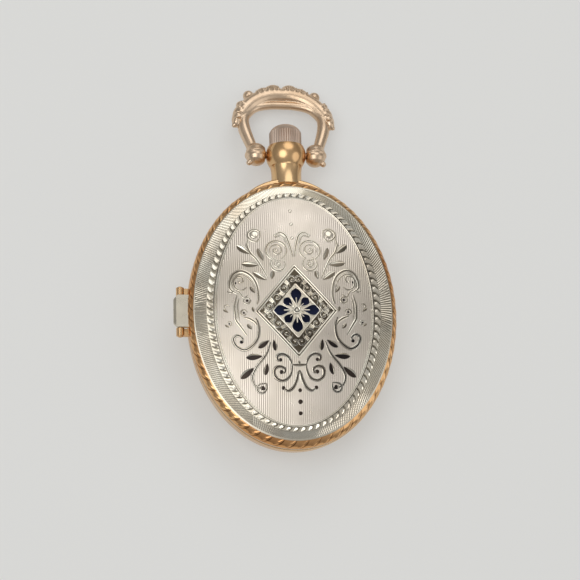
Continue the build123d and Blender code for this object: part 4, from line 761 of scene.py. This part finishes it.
def aroundHub(radius, u, level):
    angle = 2 * math.pi * u
    return drawn(radius * math.cos(angle), centreY + radius * math.sin(angle), level)


def hubPlace(u, v):
    radius, level = levelAt(hubLevels, v)
    return aroundHub(radius, u, level)


strip(hub, 24, len(hubLevels) - 1, hubPlace)
bmesh.ops.remove_doubles(hub["bm"], verts=hub["bm"].verts, dist=1e-6)
closeMesh(hub, "gold_cut_highlight", "cover")
# The ring round the hub is painted dark as shade
hubGroove = newMesh("flower_hub_groove")
strip(hubGroove, 24, 1, lambda u, v: aroundHub(hubRing["inner"] + hubRing["wide"] * v, u, hubRing["level"]))
closeMesh(hubGroove, "painted_shade", "cover")

# Lips, blades and beads are painted bright as highlight; cuts, leaf hollows and punched dots are painted dark as
# shade, darker low on the cover
closeMesh(lips, "gold_cut_highlight", "cover")
closeMesh(cutLines, "painted_shade_light", "cover")
closeMesh(lowCutShade, "painted_shade", "cover")
closeMesh(lowLeafShade, "painted_shade", "cover")
closeMesh(leaves, "gold_cut_highlight", "cover", smooth=False)
closeMesh(leafShade, "painted_shade_light", "cover")
closeMesh(beads, "gold_cut_highlight", "cover")
closeMesh(darkBeads, "painted_shade", "cover")
print("stage: diamond and flower")

# The cast bow: drawn across and out from its pivot, then laid at its rest slope and fused like a casting
bow = {
    "pivot": (0.0, 24.9, 4.2), "drop": 14.943, "flat": 3.06, "voxel": 0.085, "smooth": 5,
    "inner": [(4.85, 0.9, 0.80), (5.17, 2.1, 0.84), (5.6, 3.5, 0.90), (5.95, 4.9, 0.94), (6.0, 6.3, 0.88),
              (5.6, 7.4, 0.80), (4.2, 8.75, 0.68), (2.2, 9.3, 0.62), (0.0, 9.4, 0.60)],
    "band": [(7.3, 5.35, 0.42), (7.0, 6.0, 0.80), (6.6, 7.0, 1.02), (5.85, 8.2, 1.15), (4.75, 9.5, 1.22),
             (3.3, 10.5, 1.25), (1.6, 11.1, 1.25), (0.0, 11.2, 1.18)],
    "masses": [(1.30, 12.05, 1.35, 1.02, 1.05, -12), (2.95, 11.45, 1.45, 0.92, 1.02, -32),
               (5.0, 11.05, 0.84, 0.84, 0.84, 0), (6.3, 9.2, 0.66, 0.66, 0.66, 0),
               (6.85, 7.75, 1.30, 0.62, 0.88, -70),
               (7.0, 6.15, 1.00, 0.68, 0.90, -80), (7.42, 5.4, 0.36, 0.36, 0.36, 0)],
    "ribs": [(0.42, 11.0, 0.62, 12.5), (0.95, 10.9, 1.45, 12.6), (1.6, 10.75, 2.35, 12.2), (2.25, 10.5, 3.2, 11.95),
             (2.95, 10.2, 4.0, 11.4), (5.5, 8.65, 6.5, 9.3), (5.9, 7.75, 7.0, 8.25), (6.2, 6.95, 7.3, 7.2),
             (6.4, 6.2, 7.35, 6.2)],
    "ribLift": 1.12, "ribSink": 0.86, "ribRadius": 0.17, "ribDepth": 0.34, "budSteps": 32, "softness": 0.5,
    "bud": [(0.0, 1.74), (0.62, 1.66), (1.18, 1.34), (1.50, 0.80), (1.55, 0.20), (1.70, 0.15), (1.70, -0.15),
            (1.52, -0.20), (1.44, -0.70), (1.14, -1.20), (0.62, -1.52), (0.0, -1.66)],
    "budAcross": 4.38, "tip": (5.5, -1.4, 0.44), "peg": (2.1, 0.48),
}
bowTurn = (Matrix.Translation(Vector(bow["pivot"]) * mm) @ Matrix.Rotation(-math.radians(bow["drop"]), 4, "X")
           @ Matrix.Scale(mm, 4))


def tube(piece, points, count=96, around=18):
    path = smoothPath([(x, y, r) for x, y, r in points], count)

    def place(u, v):
        i = min(int(round(u * count)), count)
        run = path[min(i + 1, count)] - path[max(i - 1, 0)]
        length = math.hypot(run.x, run.y)
        angle = 2 * math.pi * v
        radius = path[i].z
        return Vector((path[i].x - run.y / length * radius * math.cos(angle),
                       path[i].y + run.x / length * radius * math.cos(angle), radius * math.sin(angle)))

    strip(piece, count, around, place, onCover=False)
    bmesh.ops.remove_doubles(piece["bm"], verts=piece["bm"].verts, dist=1e-5)
    bmesh.ops.holes_fill(piece["bm"], edges=[e for e in piece["bm"].edges if e.is_boundary], sides=0)


def ball(piece, x, y, sizes, turn=0.0):
    made = bmesh.ops.create_uvsphere(piece["bm"], u_segments=24, v_segments=16, radius=1.0)
    bmesh.ops.transform(piece["bm"], verts=made["verts"],
                        matrix=Matrix.Translation((x, y, 0)) @ Matrix.Rotation(math.radians(turn), 4, "Z")
                        @ Matrix.Diagonal((*sizes, 1)))


casting = newMesh("cast_bow")
for line in ("inner", "band"):
    tube(casting, [(-x, y, r) for x, y, r in bow[line][:-1]] + bow[line][::-1])
for side in (1, -1):
    for x, y, along, wide, deep, turn in bow["masses"]:
        ball(casting, side * x, y, (along, wide, deep), side * turn)
    ball(casting, side * bow["tip"][0], bow["tip"][1], (bow["tip"][2],) * 3)
    for x, y, endX, endY in bow["ribs"]:  # veins on both faces of the leaves
        for face in (1, -1):
            made = bmesh.ops.create_uvsphere(casting["bm"], u_segments=12, v_segments=8, radius=1.0)
            length = math.hypot(endX - x, endY - y)
            lift = face * bow["ribLift"] * bow["ribSink"]
            place = Matrix.Translation((side * (x + endX) / 2, (y + endY) / 2, lift))
            turn = Matrix.Rotation(math.atan2(endY - y, side * (endX - x)), 4, "Z")
            bmesh.ops.transform(casting["bm"], verts=made["verts"], matrix=place @ turn
                                @ Matrix.Diagonal((length / 2, bow["ribRadius"], bow["ribDepth"], 1)))
    ring = [bmesh.ops.create_vert(casting["bm"], co=(r, y, 0))["vert"][0] for r, y in bow["bud"]]
    edges = [casting["bm"].edges.new((a, b)) for a, b in zip(ring, ring[1:])]
    bmesh.ops.spin(casting["bm"], geom=ring + edges, axis=(0, 1, 0), cent=(0, 0, 0), steps=bow["budSteps"],
                   angle=2 * math.pi, use_merge=True)
    linked = {v for e in casting["bm"].edges for v in e.verts if v in ring}
    grow = list(linked)
    while grow:
        vert = grow.pop()
        for edge in vert.link_edges:
            other = edge.other_vert(vert)
            if other not in linked:
                linked.add(other)
                grow.append(other)
    for vert in linked:
        across = max(bow["flat"], bow["budAcross"] + vert.co.x)
        vert.co = Vector((side * across, vert.co.y, vert.co.z))
    made = bmesh.ops.create_cone(casting["bm"], cap_ends=True, segments=20, radius1=bow["peg"][1],
                                 radius2=bow["peg"][1], depth=bow["budAcross"] - bow["peg"][0])
    bmesh.ops.transform(casting["bm"], verts=made["verts"],
                        matrix=Matrix.Translation((side * (bow["budAcross"] + bow["peg"][0]) / 2, 0, 0))
                        @ Matrix.Rotation(math.pi / 2, 4, "Y"))
bmesh.ops.remove_doubles(casting["bm"], verts=casting["bm"].verts, dist=1e-5)
bmesh.ops.recalc_face_normals(casting["bm"], faces=casting["bm"].faces)
bmesh.ops.transform(casting["bm"], verts=casting["bm"].verts, matrix=bowTurn)
rough = bpy.data.meshes.new("cast_bow_rough")
casting["bm"].to_mesh(rough)
casting["bm"].free()
roughBow = bpy.data.objects.new("cast_bow_rough", rough)
bpy.context.collection.objects.link(roughBow)
fuse = roughBow.modifiers.new("fuse", "REMESH")
fuse.mode = "VOXEL"
fuse.voxel_size = bow["voxel"] * mm
soften = roughBow.modifiers.new("soften", "SMOOTH")
soften.factor = bow["softness"]
soften.iterations = bow["smooth"]
bpy.context.view_layer.update()
cast = bpy.data.meshes.new_from_object(roughBow.evaluated_get(bpy.context.evaluated_depsgraph_get()))
bpy.data.objects.remove(roughBow)
cast.name = "cast_bow"
cast.materials.clear()
cast.materials.append(materials["gold_cast"])
for face in cast.polygons:
    face.use_smooth = True
castBow = bpy.data.objects.new("cast_bow", cast)
bpy.context.collection.objects.link(castBow)
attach(castBow, "bow")
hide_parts("bow")
print("stage: cast bow", len(cast.polygons))

# Dial print: numerals and a minute track, flat on the dial
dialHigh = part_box("dial")[1]
dial = {"numeralHeight": 2.3, "numeralShare": 0.74, "trackShare": 0.93, "tick": (0.55, 0.08),
        "hourTick": (0.935, 0.16), "rise": 0.02}
dialTop = dialHigh[2] + dial["rise"] * mm
dialHalf = dialHigh[0]
dialRatio = dialHigh[1] / dialHigh[0]
ticks = newMesh("minute_track")
for minute in range(60):
    angle = math.radians(90 - 6 * minute)
    long, wide = (size * mm for size in dial["tick" if minute % 5 else "hourTick"])
    ovalReach = dialHalf * dial["trackShare"] / math.hypot(math.cos(angle), math.sin(angle) / dialRatio)
    made = bmesh.ops.create_cube(ticks["bm"], size=1.0)
    turn = Matrix.Rotation(angle, 4, "Z")
    move = Matrix.Translation((ovalReach - long / 2, 0, dialTop))
    bmesh.ops.transform(ticks["bm"], verts=made["verts"],
                        matrix=turn @ move @ Matrix.Diagonal((long, wide, dial["rise"] * mm, 1)))
closeMesh(ticks, "dial_print", "case", smooth=False)

for hour in range(1, 13):
    angle = math.radians(90 - 30 * hour)
    curve = bpy.data.curves.new("numeral_%02d" % hour, "FONT")
    curve.body = str(hour)
    curve.size = dial["numeralHeight"] * mm
    curve.extrude = dial["rise"] * mm / 2
    curve.align_x = "CENTER"
    curve.align_y = "CENTER"
    holder = bpy.data.objects.new("numeral_%02d" % hour, curve)
    bpy.context.collection.objects.link(holder)
    bpy.context.view_layer.update()
    mesh = bpy.data.meshes.new_from_object(holder.evaluated_get(bpy.context.evaluated_depsgraph_get()))
    bpy.data.objects.remove(holder)
    ovalReach = dialHalf * dial["numeralShare"] / math.hypot(math.cos(angle), math.sin(angle) / dialRatio)
    mesh.transform(Matrix.Translation((ovalReach * math.cos(angle), ovalReach * math.sin(angle), dialTop)))
    mesh.materials.clear()
    mesh.materials.append(materials["dial_print"])
    numeral = bpy.data.objects.new("numeral_%02d" % hour, mesh)
    bpy.context.collection.objects.link(numeral)
    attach(numeral, "case")
print("stage: dial print")

# Stage: pale floor, soft lamps, the photograph's camera
studio = {
    "floorSize": 3.0, "floorColour": (0.90, 0.90, 0.89), "floorRough": 0.9, "floorGlow": 0.45,
    "lamps": [
        {"name": "key", "place": (-0.20, -0.04, 0.44), "size": 0.38, "watts": 0.60, "aim": (0, 0, 0.006)},
        {"name": "fill", "place": (0.44, -0.12, 0.30), "size": 0.46, "watts": 0.36, "aim": (0, 0, 0.006)},
        {"name": "back", "place": (0.08, 0.36, 0.40), "size": 0.44, "watts": 0.52, "aim": (0, 0, 0.006)},
    ],
    "skyLow": 0.24, "skyHigh": 0.46,
}
floorMesh = bpy.data.meshes.new("studio_floor")
floorBm = bmesh.new()
bmesh.ops.create_grid(floorBm, x_segments=1, y_segments=1, size=studio["floorSize"] / 2)
floorBm.to_mesh(floorMesh)
floorBm.free()
studioFloor = bpy.data.objects.new("studio_floor", floorMesh)
bpy.context.collection.objects.link(studioFloor)
floorMaterial = bpy.data.materials.new("studio_floor")
floorMaterial.use_nodes = True
floorShader = floorMaterial.node_tree.nodes["Principled BSDF"]
floorShader.inputs["Base Color"].default_value = linear(studio["floorColour"])
floorShader.inputs["Roughness"].default_value = studio["floorRough"]
floorNodes = floorMaterial.node_tree.nodes
floorLinks = floorMaterial.node_tree.links
# The camera and reflections see part of the floor as its plain colour; the rest keeps the shadow
rays = floorNodes.new("ShaderNodeLightPath")
seen = floorNodes.new("ShaderNodeMath")
seen.operation = "MAXIMUM"
floorLinks.new(rays.outputs["Is Camera Ray"], seen.inputs[0])
floorLinks.new(rays.outputs["Is Glossy Ray"], seen.inputs[1])
clear = floorNodes.new("ShaderNodeMath")
clear.operation = "MAXIMUM"
floorLinks.new(seen.outputs["Value"], clear.inputs[0])
floorLinks.new(rays.outputs["Is Transmission Ray"], clear.inputs[1])
share = floorNodes.new("ShaderNodeMath")
share.operation = "MULTIPLY"
floorLinks.new(clear.outputs["Value"], share.inputs[0])
share.inputs[1].default_value = studio["floorGlow"]
glow = floorNodes.new("ShaderNodeEmission")
glow.inputs["Color"].default_value = linear(studio["floorColour"])
blend = floorNodes.new("ShaderNodeMixShader")
floorLinks.new(share.outputs["Value"], blend.inputs["Fac"])
floorLinks.new(floorShader.outputs["BSDF"], blend.inputs[1])
floorLinks.new(glow.outputs["Emission"], blend.inputs[2])
floorLinks.new(blend.outputs["Shader"], floorNodes["Material Output"].inputs["Surface"])
floorMesh.materials.append(floorMaterial)

for lamp in studio["lamps"]:
    light = bpy.data.lights.new(lamp["name"], "AREA")
    light.shape = "DISK"
    light.size = lamp["size"]
    light.energy = lamp["watts"]
    holder = bpy.data.objects.new(lamp["name"], light)
    holder.location = lamp["place"]
    aim = Vector(lamp["aim"]) - Vector(lamp["place"])
    holder.rotation_euler = aim.to_track_quat("-Z", "Y").to_euler()
    bpy.context.collection.objects.link(holder)

world = bpy.data.worlds.new("studio")
world.use_nodes = True
sky = world.node_tree.nodes["Background"]
skyPlace = world.node_tree.nodes.new("ShaderNodeTexCoord")
skyAxes = world.node_tree.nodes.new("ShaderNodeSeparateXYZ")
skyLevel = world.node_tree.nodes.new("ShaderNodeMapRange")
skyLevel.inputs["To Min"].default_value = studio["skyLow"]
skyLevel.inputs["To Max"].default_value = studio["skyHigh"]
world.node_tree.links.new(skyPlace.outputs["Generated"], skyAxes.inputs["Vector"])
world.node_tree.links.new(skyAxes.outputs["Z"], skyLevel.inputs["Value"])
world.node_tree.links.new(skyLevel.outputs["Result"], sky.inputs["Strength"])
sky.inputs["Color"].default_value = (1.0, 1.0, 1.0, 1.0)
bpy.context.scene.world = world
bpy.context.scene.view_settings.view_transform = "Standard"

camera = {"aim": (-0.19, 3.58, 6.0), "away": (-0.1398, -0.3004, 0.9435), "right": (0.99005, -0.02688, 0.13814),
          "distance": 248.7, "focalPixels": 1741, "framePixels": 580, "sensor": 36.0}
lens = bpy.data.cameras.new("camera")
lens.sensor_width = camera["sensor"]
lens.lens = camera["focalPixels"] / camera["framePixels"] * camera["sensor"]
lens.clip_start = 0.01
view = bpy.data.objects.new("camera", lens)
bpy.context.collection.objects.link(view)
away = Vector(camera["away"]).normalized()
right = Vector(camera["right"])
right = (right - away * right.dot(away)).normalized()
up = away.cross(right)
turned = Matrix((right, up, away)).transposed().to_4x4()
turned.translation = (Vector(camera["aim"]) + away * camera["distance"]) * mm
view.matrix_world = turned
bpy.context.scene.camera = view
print("stage: studio")
